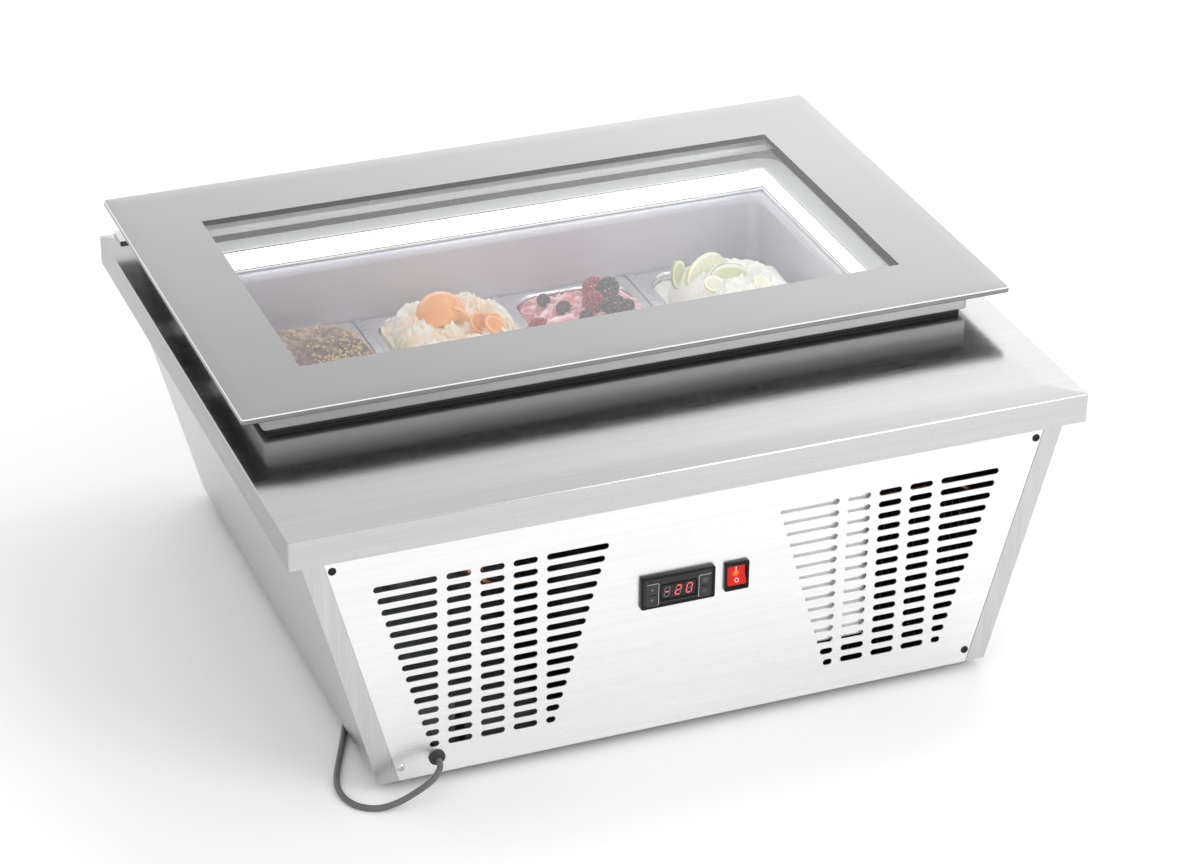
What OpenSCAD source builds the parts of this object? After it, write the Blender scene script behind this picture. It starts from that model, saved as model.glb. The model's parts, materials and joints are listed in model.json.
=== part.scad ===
// Countertop ice cream dipping cabinet: a lit, chilled well of four pans under a hinged
// glass lid, with the refrigeration unit behind a slotted front panel.
// Frame: +X to the operator's right, +Y to the back, +Z up, origin on the floor under the centre.

/* [Cabinet] */
// Width of the worktop
top_w = 800; // [798:1:810]
// Depth of the worktop from front to back
top_d = 660; // [656:1:670]
// Height of the worktop's upper face above the floor
top_z = 300; // [298:1:304]
// Height of the worktop's folded skirt
skirt_h = 30; // [20:1:30]
// Thickness of the sheet steel
sheet = 1.5; // [1.2:0.1:1.5]
// Height of the feet
foot_h = 10; // [9:1:11]
// Half the width of the body at its lower edge
base_half = 316; // [314:1:318]
// How far each flank leans out between its lower edge and the skirt
flare = 70; // [64:1:72]
// Distance from the worktop's front edge back to the front panel
front_inset = 16; // [15:1:18]
// Distance from the worktop's back edge forward to the rear panel
rear_inset = 52; // [50:1:54]

/* [Well] */
// Width of the well between its side walls
well_w = 608; // [606:1:608]
// Length of the well from front to back
well_d = 316; // [314:1:316]
// Distance of the well's centre behind the worktop's centre
well_y = 79; // [78:1:80]
// Width of the ledge between the well's wall and the light strip
ledge = 10; // [8:1:10]
// Height of the well's floor
floor_z = 75; // [70:1:78]

/* [Pans] */
// Distance between the centres of neighbouring pans
pan_pitch = 154; // [153:0.5:154]
// Width of a pan over its rim
pan_w = 144; // [140:1:144]
// Length of a pan over its rim
pan_d = 312; // [306:1:312]
// Depth of a pan
pan_h = 118; // [80:1:120]
// Height of the top of the pans' rims
rim_z = 203; // [201:1:205]

/* [Lid] */
// Width of the glass
glass_w = 788; // [784:1:790]
// Length of the glass from front to back
glass_d = 501; // [495:1:505]
// Thickness of the glass
glass_t = 6; // [5:1:8]
// Height of the frame under the glass
lid_frame_h = 28; // [24:1:30]
// Height of the gasket under the frame
gasket_h = 6; // [5:1:6]
// Distance from the side edge of the glass in to the frame
lid_frame_in = 29; // [26:1:32]
// Width of the frame's profile
lid_frame_w = 27; // [24:1:40]

/* [Grilles] */
// Number of rows of slots
slot_rows = 15; // [8:1:16]
// Distance between rows
slot_pitch = 12.87; // [10:0.01:13]
// Height of one slot
slot_h = 6.5; // [4:0.5:7]
// Distance of each grille's centre from the middle of the panel
grille_x = 202; // [198:1:204]
// Height of the top row above the floor
slot_top = 223.5; // [215:0.5:226]

/* [Controls] */
// Distance of the controller's centre from the middle of the panel
ctrl_x = -17.6; // [-25:0.1:-15]
// Height of the centre line of the controls
ctrl_z = 164.3; // [160:0.1:170]
// Width of the controller's face
ctrl_w = 75; // [74:0.5:76]
// Height of the controller's face
ctrl_h = 34; // [33:0.5:35]
// Distance of the switch's centre from the middle of the panel
switch_x = 43; // [40:0.5:48]
// Half of the angle that the rocker turns through
rocker_tilt = 10; // [6:1:11]

/* [Cord] */
// Diameter of the supply cord
cord_d = 6; // [5:0.5:6]

/* [Hidden] */

$fn = 48;
eps = 0.5;
front_y = -top_d / 2 + front_inset;
rear_y = top_d / 2 - rear_inset;
skirt_z = top_z - skirt_h;
under_z = top_z - sheet;
plate_z = foot_h + 2;
flange_w = 20;
seam = 0.6;
bulk_y = -118.5;
gap = 0.3;

// Half the body's width at height z, on the outside of the leaning flanks
function flank(z) = base_half + flare * (z - foot_h) / (skirt_z - foot_h);

// ---- shared shapes -----------------------------------------------------------------

// A box from its lowest to its highest corner
module block(low, high) {
    translate(low) cube(high - low);
}

// A flat outline in X and Z, given a thickness from y0 to y1
module upright(y0, y1) {
    translate([0, y1, 0]) rotate([90, 0, 0]) linear_extrude(y1 - y0) children();
}

// A rectangle about the origin with round corners
module round_rect(w, d, r) {
    square([w - 2 * r, d], center = true);
    square([w, d - 2 * r], center = true);
    for (sx = [-1, 1], sy = [-1, 1]) translate([sx * (w / 2 - r), sy * (d / 2 - r)]) circle(r);
}

// A trapezoid between two heights, as wide as the body less a margin on each side
module body_outline(z0, z1, margin) {
    polygon([
        [-flank(z0) + margin, z0], [flank(z0) - margin, z0],
        [flank(z1) - margin, z1], [-flank(z1) + margin, z1]
    ]);
}

// A strip that follows the right flank, from m0 to m1 inside its outer face
module flank_strip(z0, z1, m0, m1) {
    polygon([
        [flank(z0) - m1, z0], [flank(z0) - m0, z0],
        [flank(z1) - m0, z1], [flank(z1) - m1, z1]
    ]);
}

// A round bar along Y
module bar_y(x, z, r, y0, y1) {
    translate([x, y1, z]) rotate([90, 0, 0]) cylinder(r = r, h = y1 - y0);
}

// A round bar along X
module bar_x(y, z, r, x0, x1) {
    translate([x0, y, z]) rotate([0, 90, 0]) cylinder(r = r, h = x1 - x0);
}

// A flat ring about the well, from one half size to another
module well_ring(inner, outer, z0, z1) {
    translate([0, well_y, z0]) linear_extrude(z1 - z0) difference() {
        square(2 * outer, center = true);
        square(2 * inner, center = true);
    }
}

// ---- swept tubes -------------------------------------------------------------------

function unit(v) = v / norm(v);
function tangent(p, i) = unit(p[min(i + 1, len(p) - 1)] - p[max(i - 1, 0)]);
function carry(n, t) = unit(n - (n * t) * t);
function normals(p, i, n) =
    i == len(p) ? [] : let (m = carry(n, tangent(p, i))) concat([m], normals(p, i + 1, m));

// A point between b and c on the smooth curve through a, b, c and d
function between(a, b, c, d, t) =
    0.5 * (2 * b + (c - a) * t + (2 * a - 5 * b + 4 * c - d) * t * t
    + (3 * b - a - 3 * c + d) * t * t * t);
function smooth(p, n) = concat(
    [for (i = [0 : len(p) - 2]) for (k = [0 : n - 1])
        between(p[max(i - 1, 0)], p[i], p[i + 1], p[min(i + 2, len(p) - 1)], k / n)],
    [p[len(p) - 1]]
);

// A tube of radius r swept along the points p; start is a direction across the first one
module tube(p, r, sides, start) {
    n = normals(p, 0, start);
    rings = [for (i = [0 : len(p) - 1]) let (b = cross(tangent(p, i), n[i]))
        for (k = [0 : sides - 1])
            p[i] + r * (cos(360 * k / sides) * n[i] + sin(360 * k / sides) * b)];
    walls = [for (i = [0 : len(p) - 2]) for (k = [0 : sides - 1])
        let (a = i * sides + k, b = i * sides + (k + 1) % sides)
        [a, a + sides, b + sides, b]];
    ends = [
        [for (k = [0 : sides - 1]) k],
        [for (k = [sides - 1 : -1 : 0]) (len(p) - 1) * sides + k]
    ];
    polyhedron(rings, concat(walls, ends), 4);
}

// ---- casing ------------------------------------------------------------------------

window = [well_w / 2 + ledge, well_d / 2 + ledge];

module worktop() {
    color("gainsboro") difference() {
        block([-top_w / 2, -top_d / 2, skirt_z], [top_w / 2, top_d / 2, top_z]);
        block([sheet - top_w / 2, sheet - top_d / 2, skirt_z - 1],
            [top_w / 2 - sheet, top_d / 2 - sheet, under_z]);
        translate([0, well_y, under_z - 1]) linear_extrude(sheet + 2)
            square(2 * window, center = true);
    }
}

screw_m = 26;
screw_zs = [24, 252];
rear_screw_m = 9;
rear_screw_zs = [30, 150, 262];
screw_r = 2;
screw_hole_r = 2.1;
screw_l = 8;
head_r = 4;
head_t = 1.2;

// The right-hand flank with its returns; the left one is its mirror image
module flank_panel() {
    difference() {
        union() {
            upright(front_y, rear_y - sheet) flank_strip(foot_h, under_z, 0, sheet);
            upright(front_y, front_y + sheet) flank_strip(foot_h, under_z, 0, flange_w);
            upright(front_y + sheet, front_y + 2 * sheet) flank_strip(foot_h, under_z, 0, 34);
            upright(rear_y - 2 * sheet, rear_y - sheet) flank_strip(foot_h, under_z, 0, 18);
            block([flank(under_z) - 25, front_y + 2 * sheet, under_z - sheet],
                [flank(under_z) - sheet, rear_y - 2 * sheet, under_z]);
        }
        for (z = screw_zs) bar_y(flank(z) - screw_m, z, screw_hole_r, front_y, front_y + 4);
        for (z = rear_screw_zs) bar_y(flank(z) - rear_screw_m, z, screw_hole_r, rear_y - 4, rear_y);
    }
}

module side_panel_left() {
    color("silver") mirror([1, 0, 0]) flank_panel();
}

module side_panel_right() {
    color("silver") flank_panel();
}

// A slot with round ends from x0 to x1, centred on height z
module slot(x0, x1, z) {
    r = slot_h / 2;
    translate([x0 + r, z - r]) square([x1 - x0 - slot_h, slot_h]);
    translate([x0 + r, z]) circle(r, $fn = 24);
    translate([x1 - r, z]) circle(r, $fn = 24);
}

// Where the outer slots of a row end: they shorten evenly from the top row to the bottom
function slot_end(row) = 115 - 52 * row / (slot_rows - 1);

module grille() {
    for (row = [0 : slot_rows - 1]) {
        z = slot_top - slot_pitch * row;
        for (m = [-1, 0, 1]) slot(32.6 * m - 12, 32.6 * m + 12, z);
        slot(53.5, slot_end(row), z);
        slot(-slot_end(row), -53.5, z);
    }
}

cord_x = -258;
cord_z = 28;

module front_panel() {
    color("gainsboro") difference() {
        upright(front_y, front_y + sheet) difference() {
            body_outline(foot_h, under_z, flange_w + seam);
            for (s = [-1, 1]) translate([s * grille_x, 0]) grille();
            translate([ctrl_x, ctrl_z]) square([71, 29], center = true);
            translate([switch_x, ctrl_z]) square([22, 28], center = true);
        }
        bar_y(cord_x, cord_z, 6, front_y - 1, front_y + 3);
        for (s = [-1, 1], z = screw_zs)
            bar_y(s * (flank(z) - screw_m), z, 2.1, front_y - 1, front_y + 3);
    }
}

// Where the air baffle lies behind the right grille, and how far behind the panel's outer face
baffle_x = [84, 182];
baffle_z = [66, 246];
baffle_back = 4.5;
baffle_flange = 14;

// A joggled sheet spot-welded inside the front panel: it closes the slots with no condenser behind
module air_baffle() {
    inner_y = front_y + sheet;
    face_y = front_y + baffle_back;
    color("gainsboro") {
        block([baffle_x[0] - baffle_flange, inner_y, baffle_z[0]],
            [baffle_x[0] + sheet, inner_y + sheet, baffle_z[1]]);
        block([baffle_x[0], inner_y, baffle_z[0]], [baffle_x[0] + sheet, face_y + sheet, baffle_z[1]]);
        block([baffle_x[0], face_y, baffle_z[0]], [baffle_x[1], face_y + sheet, baffle_z[1]]);
    }
}

module rear_panel() {
    color("silver") difference() {
        upright(rear_y - sheet, rear_y) body_outline(foot_h, under_z, 0.2);
        for (s = [-1, 1], z = rear_screw_zs)
            bar_y(s * (flank(z) - rear_screw_m), z, screw_hole_r, rear_y - 3, rear_y + 1);
    }
}

module base_plate() {
    half = base_half - sheet - 0.2;
    color("darkgray") difference() {
        block([-half, front_y + 2 * sheet, foot_h], [half, rear_y - 2 * sheet, plate_z]);
        for (x = [-70 : 20 : 70]) translate([x, -225, 0]) linear_extrude(plate_z + 1)
            square([8, 90], center = true);
    }
}

lead_holes = [[-150, 84], [-224, 180]];

module bulkhead_panel() {
    color("darkgray") difference() {
        upright(bulk_y - sheet, bulk_y) body_outline(plate_z, under_z - sheet - 0.1, sheet + 0.2);
        for (h = lead_holes) bar_y(h[0], h[1], 5.5, bulk_y - 3, bulk_y + 1);
    }
}

foot_xs = [-292, 292];
foot_ys = [-286, 250];

module feet() {
    color([0.9, 0.92, 0.9]) for (x = foot_xs, y = foot_ys) translate([x, y, 0])
        rotate_extrude() polygon([[0, 0], [17, 0], [19, 2], [19, foot_h - 1], [18, foot_h], [0, foot_h]]);
}

// A screw driven along +Y, with the underside of its head at y = 0
module screw() {
    bar_y(0, 0, head_r, -head_t, 0);
    bar_y(0, 0, screw_r, 0, screw_l);
}

module panel_screws() {
    color("dimgray") for (s = [-1, 1]) {
        for (z = screw_zs) translate([s * (flank(z) - screw_m), front_y, z]) screw();
        for (z = rear_screw_zs) translate([s * (flank(z) - rear_screw_m), rear_y, z])
            rotate([0, 0, 180]) screw();
    }
}

// ---- well, insulation and light ------------------------------------------------------

step_z = 196;
step_in = 6;
liner_top = 274;
coil_room = 9;

module well_shape(inset, r, z0, z1) {
    translate([0, well_y, z0]) linear_extrude(z1 - z0)
        round_rect(well_w - 2 * inset, well_d - 2 * inset, r);
}

module well_liner() {
    color("lavender") difference() {
        union() {
            well_ring([well_w / 2 - 1, well_d / 2 - 1], window + [12, 12], liner_top - sheet, liner_top);
            well_shape(-sheet, 13.5, step_z - sheet, liner_top);
            well_shape(step_in - sheet, 11.5, floor_z - sheet, step_z);
        }
        well_shape(0, 12, step_z, liner_top + 1);
        well_shape(step_in, 10, floor_z, step_z + 1);
        translate([180, well_y, floor_z - 3]) cylinder(r = 8, h = 4);
    }
}

module foam_insulation() {
    color("wheat") difference() {
        upright(bulk_y, rear_y - 2 * sheet) body_outline(plate_z, under_z - sheet - 0.1, sheet + 0.2);
        well_shape(-sheet - coil_room, 16, floor_z - sheet, top_z);
        well_ring([1, 1], window + [13, 13], liner_top - sheet, top_z);
        for (h = lead_holes) bar_y(h[0], h[1], 5.5, bulk_y - 1, well_y - well_d / 2);
        for (h = lead_holes) translate([h[0] - 28, evap_front - 22, h[1] - 7]) cube([56, 22, 14]);
        upright(rear_y - screw_l - 1, rear_y) for (s = [0, 1]) mirror([s, 0])
            flank_strip(foot_h, under_z, 0, 20);
    }
}

// One loop of the evaporator: round corners joined by straight runs
evap_r = 4;
evap_off = evap_r + sheet - step_in + 1.3;
evap_half = [well_w / 2 + evap_off, well_d / 2 + evap_off];
evap_bend = 16;
evap_turns = 6;
evap_pitch = 16;
function corner_point(turn, c, k) =
    let (a = -90 + 90 * c + 30 * k,
        sx = c == 0 || c == 1 ? 1 : -1,
        sy = c == 1 || c == 2 ? 1 : -1)
    [sx * (evap_half[0] - evap_bend) + evap_bend * cos(a),
        well_y + sy * (evap_half[1] - evap_bend) + evap_bend * sin(a),
        lead_holes[0][1] + evap_pitch * (turn + (c + k / 3) / 4)];
evap_front = well_y - evap_half[1];
evap_path = concat(
    [[-150, -126, 84], [-150, -110, 84], [-150, evap_front - 16, 84], [-146, evap_front - 7, 84],
        [-138, evap_front - 1.5, 84], [-126, evap_front, 84]],
    [for (turn = [0 : evap_turns - 1]) for (c = [0 : 3]) for (k = [0 : 3]) corner_point(turn, c, k)],
    [[-248, evap_front, 180], [-236, evap_front - 1.5, 180], [-228, evap_front - 7, 180],
        [-224, evap_front - 16, 180], [-224, -110, 180], [-224, -126, 180]]
);

module evaporator_coil() {
    color("peru") tube(evap_path, evap_r, 8, [1, 0, 0]);
}

rail_z = rim_z - 1.5;

module pan_rails() {
    color("lightgray") {
        translate([0, well_y, step_z]) linear_extrude(rail_z - step_z) difference() {
            round_rect(well_w - 2 * gap, well_d - 2 * gap, 11.7);
            for (i = [0 : 3]) translate([pan_pitch * (i - 1.5), 0])
                square([pan_w - 14, pan_d - 12], center = true);
        }
        for (i = [-1, 0, 1]) block([pan_pitch * i - 4, well_y - well_d / 2 + 1, rail_z - eps],
            [pan_pitch * i + 4, well_y + well_d / 2 - 1, rail_z + 3]);
    }
}

led_z0 = 275.2;
led_z1 = under_z - 0.1;

module led_housing() {
    color("whitesmoke") {
        well_ring(window + [10.5, 10.5], window + [12, 12], liner_top, led_z1);
        well_ring(window, window + [12, 12], liner_top, led_z0);
    }
}

module led_diffuser() {
    color("white") well_ring(window, window + [3, 3], led_z0, led_z1);
}

module led_strip() {
    half = window + [9, 9];
    color("lightyellow") {
        well_ring(half, half + [1.4, 1.4], 281, 291);
        for (x = [-280 : 40 : 280], s = [-1, 1])
            translate([x, well_y + s * (half[1] - 0.5), 286]) cube([5, 1.4, 5], center = true);
        for (y = [-140 : 40 : 140], s = [-1, 1])
            translate([s * (half[0] - 0.5), well_y + y, 286]) cube([1.4, 5, 5], center = true);
    }
}

// ---- refrigeration unit ----------------------------------------------------------------

comp = [-60, -190];
comp_r = 60;

module compressor_shell() {
    color([0.12, 0.12, 0.13]) {
        translate([comp[0], comp[1], 0]) rotate_extrude() polygon([
            [0, 33], [40, 33], [54, 40], [comp_r, 54], [comp_r, 98], [comp_r + 3, 98], [comp_r + 3, 102],
            [comp_r, 102], [comp_r, 146], [54, 162], [42, 172], [24, 176], [0, 177]
        ]);
        difference() {
            block([comp[0] - 66, comp[1] - 56, 30], [comp[0] + 66, comp[1] + 56, 33]);
            for (sx = [-1, 1], sy = [-1, 1])
                translate([comp[0] + sx * 54, comp[1] + sy * 44, 29]) cylinder(r = 5, h = 5);
        }
    }
}

module compressor_mounts() {
    color([0.1, 0.1, 0.1]) for (sx = [-1, 1], sy = [-1, 1])
        translate([comp[0] + sx * 54, comp[1] + sy * 44, plate_z]) {
            cylinder(r = 9, h = 30 - plate_z);
            cylinder(r = 4.8, h = 24);
        }
}

module compressor_terminal_cover() {
    color([0.16, 0.16, 0.17]) difference() {
        block([comp[0] + 50, comp[1] - 24, 108], [comp[0] + 82, comp[1] + 24, 158]);
        translate([comp[0], comp[1], 0]) cylinder(r = comp_r + gap, h = 300);
    }
}

cond_y = -288;
cond_x0 = 122;
cond_x1 = 282;
cond_z0 = 36;
cond_row = 19;
cond_rows = 9;
fan_x = 202;
fan_z = 112;

module condenser_fins() {
    color("silver") for (x = [cond_x0 : 8 : cond_x1])
        block([x, cond_y - 16, cond_z0 - 10],
            [x + 0.8, cond_y + 16, cond_z0 + 10 + cond_row * (cond_rows - 1)]);
}

// The end bend of a condenser row: half a circle up to the next row
function bend_point(row, k) =
    let (right = row % 2 == 0, a = -90 + 36 * k)
    [right ? cond_x1 + 8 + cond_row / 2 * cos(a) : cond_x0 - 8 - cond_row / 2 * cos(a), cond_y,
        cond_z0 + cond_row * row + cond_row / 2 * (1 + sin(a))];
cond_path = concat(
    [[cond_x0 - 8, cond_y, cond_z0]],
    [for (row = [0 : cond_rows - 2]) for (k = [0 : 5]) bend_point(row, k)],
    [[cond_x1 + 8, cond_y, cond_z0 + cond_row * (cond_rows - 1)]]
);

module condenser_tube() {
    color("peru") tube(cond_path, 3.5, 8, [0, 1, 0]);
}

module fan_shroud() {
    color([0.15, 0.15, 0.15]) difference() {
        union() {
            block([fan_x - 90, -271.5, fan_z - 92], [fan_x + 90, -269.5, fan_z + 92]);
            bar_y(fan_x, fan_z, 78, -269.6, -260);
        }
        bar_y(fan_x, fan_z, 76, -272, -259);
    }
}

module fan_bracket() {
    color("dimgray") difference() {
        union() {
            for (s = [-1, 1])
                block([fan_x + s * 83 - 3, -269.5, fan_z - 6], [fan_x + s * 83 + 3, -233, fan_z + 6]);
            block([fan_x - 86, -236, fan_z - 6], [fan_x + 86, -233, fan_z + 6]);
        }
        bar_y(fan_x, fan_z, 4, -240, -230);
    }
}

module fan_motor() {
    color([0.2, 0.2, 0.22]) {
        bar_y(fan_x, fan_z, 22, -233, -198);
        bar_y(fan_x, fan_z, 3, -257, -230);
    }
}

module fan_blade() {
    color([0.75, 0.75, 0.72]) difference() {
        union() {
            bar_y(fan_x, fan_z, 14, -256, -240);
            for (i = [0 : 4]) translate([fan_x, -248, fan_z]) rotate([0, 72 * i, 0])
                translate([40, 0, 0]) rotate([28, 0, 0]) cube([58, 1.5, 30], center = true);
        }
        bar_y(fan_x, fan_z, 3.05, -258, -238);
    }
}

drier = [62, -160];

module filter_drier() {
    color("peru") translate([drier[0], drier[1], 0]) rotate_extrude()
        polygon([[0, 40], [4, 40], [11, 52], [11, 132], [4, 144], [0, 144]]);
}

suction_path = [
    [-224, -126, 180], [-224, -138, 180], [-220, -152, 177], [-208, -164, 168], [-190, -174, 150],
    [-174, -182, 134], [-156, -188, 124], [-140, -190, 121], [-120.5, -190, 121]
];
discharge_path = [
    [-44, -172, 176.5], [-44, -172, 186], [-40, -173, 197], [-28, -176, 205], [-6, -182, 209],
    [40, -200, 212], [80, -228, 214], [106, -260, 214], [124, -279, 211],
    [150, -288, 204], [200, -288, 203], [270, -288, 203], [285, -288, 201], [296, -288, 196],
    [298, -288, 190],
    [290.5, -288, 188]
];
capillary_path = [
    [cond_x0 - 8, cond_y, cond_z0], [100, -284, 34], [84, -264, 28], [70, -220, 24], [62, -180, 24],
    [60, -166, 28], [62, -160, 40]
];
capillary_end = [
    [62, -160, 144], [62, -158, 154], [58, -148, 164], [46, -134, 170], [26, -125, 172],
    [-20, -124.5, 174],
    [-80, -124.5, 174], [-120, -126, 168], [-142, -134, 150], [-150, -142, 126], [-151, -145, 104],
    [-150, -142, 90], [-150, -134, 85], [-150, -126.2, 84]
];

module suction_pipe() {
    color("peru") tube(smooth(suction_path, 2), 4, 8, [1, 0, 0]);
}

module discharge_pipe() {
    color("peru") tube(smooth(discharge_path, 2), 3, 8, [1, 0, 0]);
}

module capillary_pipe() {
    color("peru") {
        tube(smooth(capillary_path, 2), 2, 8, [0, 0, 1]);
        tube(smooth(capillary_end, 2), 2, 8, [1, 0, 0]);
    }
}

module electrical_box() {
    color([0.25, 0.25, 0.27]) {
        block([-296, -292, plate_z], [-232, -214, 72]);
        block([-220, -286, plate_z], [-146, -240, 44]);
    }
}

// ---- controls --------------------------------------------------------------------------

ctrl_proud = 3.5;
button_w = 11.8;
button_gap = 0.25;
button_us = [-26.2, 27.8];
button_vs = [2.9, -8.8];
button_hs = [11.4, 10.4];

// The face outline of one button: side 0 is left, 1 is right; row 0 is upper, 1 is lower
module button_outline(side, row, grow) {
    translate([ctrl_x + button_us[side], ctrl_z + button_vs[row]])
        square([button_w + 2 * grow, button_hs[row] + 2 * grow], center = true);
}

module controller_housing() {
    color([0.07, 0.07, 0.08]) difference() {
        union() {
            upright(front_y - ctrl_proud, front_y) translate([ctrl_x, ctrl_z])
                round_rect(ctrl_w, ctrl_h, 2);
            block([ctrl_x - 35.3, front_y - eps, ctrl_z - 14.3],
                [ctrl_x + 35.3, front_y + 56, ctrl_z + 14.3]);
        }
        for (side = [0, 1], row = [0, 1])
            upright(front_y - ctrl_proud - 1, front_y + 1.5) button_outline(side, row, button_gap);
        upright(front_y - ctrl_proud - 1, front_y - ctrl_proud + 1)
            translate([ctrl_x + 0.7, ctrl_z - 2]) square([35.4, 16.4], center = true);
    }
}

module controller_lens() {
    color([0.3, 0.03, 0.03]) upright(front_y - ctrl_proud + 0.2, front_y - ctrl_proud + 1)
        translate([ctrl_x + 0.7, ctrl_z - 2]) square([35.2, 16.2], center = true);
}

module button(side, row) {
    color([0.12, 0.12, 0.13]) upright(front_y - ctrl_proud + 0.2, front_y + 0.5)
        button_outline(side, row, 0);
}

module button_up() {
    button(0, 0);
}

module button_down() {
    button(0, 1);
}

module button_set() {
    button(1, 0);
}

module button_standby() {
    button(1, 1);
}

pivot_y = front_y + 2;
rocker_r = 11;

module switch_housing() {
    color([0.06, 0.06, 0.06]) difference() {
        union() {
            upright(front_y - 2.5, front_y) translate([switch_x, ctrl_z]) round_rect(24.5, 30.5, 1.5);
            block([switch_x - 10.8, front_y - eps, ctrl_z - 13.7],
                [switch_x + 10.8, front_y + 24, ctrl_z + 13.7]);
        }
        block([switch_x - 9.8, front_y - 4, ctrl_z - 11.2], [switch_x + 9.8, front_y + 16, ctrl_z + 11.2]);
        bar_x(pivot_y, ctrl_z, 1.55, switch_x - 10.5, switch_x + 10.5);
    }
}

// The rocker is drawn level and then tilted so that its upper half is pressed in
module switch_rocker() {
    lift = rocker_r * tan(rocker_tilt);
    color("red") {
        translate([0, pivot_y, ctrl_z]) rotate([-rocker_tilt, 0, 0]) {
            intersection() {
                translate([switch_x - 9.5, 0, 0]) rotate([90, 0, 90]) linear_extrude(19) polygon([
                    [-2.2, 0], [-2.2 - lift, rocker_r], [2, rocker_r], [8, 5], [8, -5],
                    [2, -rocker_r], [-2.2 - lift, -rocker_r]
                ]);
                bar_x(0, 0, rocker_r, switch_x - 12, switch_x + 12);
            }
            bar_x(0, 0, 1.5, switch_x - 10.3, switch_x + 10.3);
        }
    }
}

// ---- supply cord ---------------------------------------------------------------------------

cord_r = cord_d / 2;
coil_at = [-120, rear_y + 49];
turn_in = 30;
turn_out = 42;
tail_dir = [cos(30), -sin(30), 0];
tail_at = [coil_at[0] + turn_out * cos(60), coil_at[1] + turn_out * sin(60), 9];
plug_at = 36;
plug_r = 17;

// Exit, fall to the floor, loop beside the front foot, and run back under the body
cord_route = [
    [-258, -319, 28], [-258.8, -325, 27.8], [-261, -331, 27], [-265, -336, 25.5],
    [-270, -340, 23.2], [-276, -342, 20.4], [-283, -343, 17], [-293, -343, 12], [-304, -343, 7.6],
    [-315, -342, 4.6], [-325, -340, 3.2], [-334, -336, 3], [-342, -329, 3], [-347, -320, 3],
    [-350, -309, 3], [-350, -296, 3], [-347, -282, 3], [-341, -266, 3], [-334, -250, 3],
    [-326, -232, 3], [-317, -211, 3], [-308, -188, 3], [-299, -160, 3], [-290, -128, 3],
    [-281, -90, 3], [-271, -48, 3], [-261, -4, 3], [-250, 42, 3], [-238, 88, 3], [-225, 134, 3],
    [-211, 178, 3], [-196, 220, 3], [-181, 256, 3], [-169, 284, 3], [-163, 302, 3], [-162, 312, 3]
];
cord_tail = [
    [10, 9.4], [16, 10.6], [22, 12.8], [28, 15.2], [33, 16.7], [36, 17.1]
];

module cord_grommet() {
    color([0.08, 0.08, 0.08]) translate([cord_x, front_y, cord_z]) rotate([90, 0, 0]) rotate_extrude()
        polygon([
            [3.2, -17], [4.6, -17], [5.9, -4], [8, -4], [8, -1.6], [5.9, -1.6], [5.9, 0], [8, 0],
            [8, 1.6], [7.2, 2.4], [5.2, 2.8], [4.2, 5], [3.2, 5]
        ]);
}

module power_cord() {
    color([0.3, 0.3, 0.3]) {
        tube(smooth(cord_route, 2), cord_r, 10, [0, 0, 1]);
        tube([for (t = cord_tail) [tail_at[0], tail_at[1], 0] + t[0] * tail_dir + [0, 0, t[1]]],
            cord_r, 10, [0, 0, 1]);
    }
}

module cord_coil() {
    color([0.3, 0.3, 0.3]) translate([coil_at[0], coil_at[1], 0]) rotate_extrude()
        translate([turn_in - cord_r, 0]) square([turn_out - turn_in + cord_d, 2 * cord_d]);
}

module cord_tie() {
    w = turn_out - turn_in + cord_d;
    color([0.1, 0.1, 0.1]) translate([coil_at[0], coil_at[1], 0]) rotate([0, 0, 250])
        translate([turn_in - cord_r, 0, 0]) difference() {
            translate([-1.6, -4, 0]) cube([w + 3.2, 8, 2 * cord_d + 1.2]);
            translate([-0.6, -5, -1]) cube([w + 1.2, 10, 2 * cord_d + 1.2]);
        }
}

module at_plug() {
    translate([tail_at[0], tail_at[1], plug_r + 0.1] + plug_at * tail_dir) rotate([0, 0, -30]) children();
}

module plug_body() {
    color([0.1, 0.1, 0.1]) at_plug() rotate([0, 90, 0]) rotate_extrude() polygon([
        [0, 0], [4.2, 0], [6.5, 18], [11, 22], [15.5, 24], [plug_r, 28], [plug_r, 50], [16, 52], [0, 52]
    ]);
}

module plug_pins() {
    color("silver") at_plug() for (s = [-1, 1]) translate([0, 9.5 * s, 0]) bar_x(0, 0, 2.4, 52, 71);
}

// ---- lid ---------------------------------------------------------------------------------

frame_z0 = top_z + gasket_h;
glass_z0 = frame_z0 + lid_frame_h;
glass_y1 = top_d / 2;
glass_y0 = glass_y1 - glass_d;
frame_x = glass_w / 2 - lid_frame_in;
frame_y0 = glass_y0 + 32;
frame_y1 = glass_y1 - 29;
open_x = frame_x - lid_frame_w;
open_y0 = frame_y0 + lid_frame_w;
open_y1 = frame_y1 - lid_frame_w;

module lid_glass() {
    color([0.75, 0.78, 0.78]) translate([0, (glass_y0 + glass_y1) / 2, glass_z0]) linear_extrude(glass_t)
        round_rect(glass_w, glass_d, 3);
}

module lid_frame() {
    color("silver") difference() {
        block([-frame_x, frame_y0, frame_z0], [frame_x, frame_y1, glass_z0]);
        difference() {
            block([sheet - frame_x, frame_y0 + sheet, frame_z0 + sheet],
                [frame_x - sheet, frame_y1 - sheet, glass_z0 + 1]);
            block([-open_x - sheet, open_y0 - sheet, frame_z0 - 1],
                [open_x + sheet, open_y1 + sheet, glass_z0 + 2]);
        }
        block([-open_x, open_y0, frame_z0 - 1], [open_x, open_y1, glass_z0 + 1]);
    }
}

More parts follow.
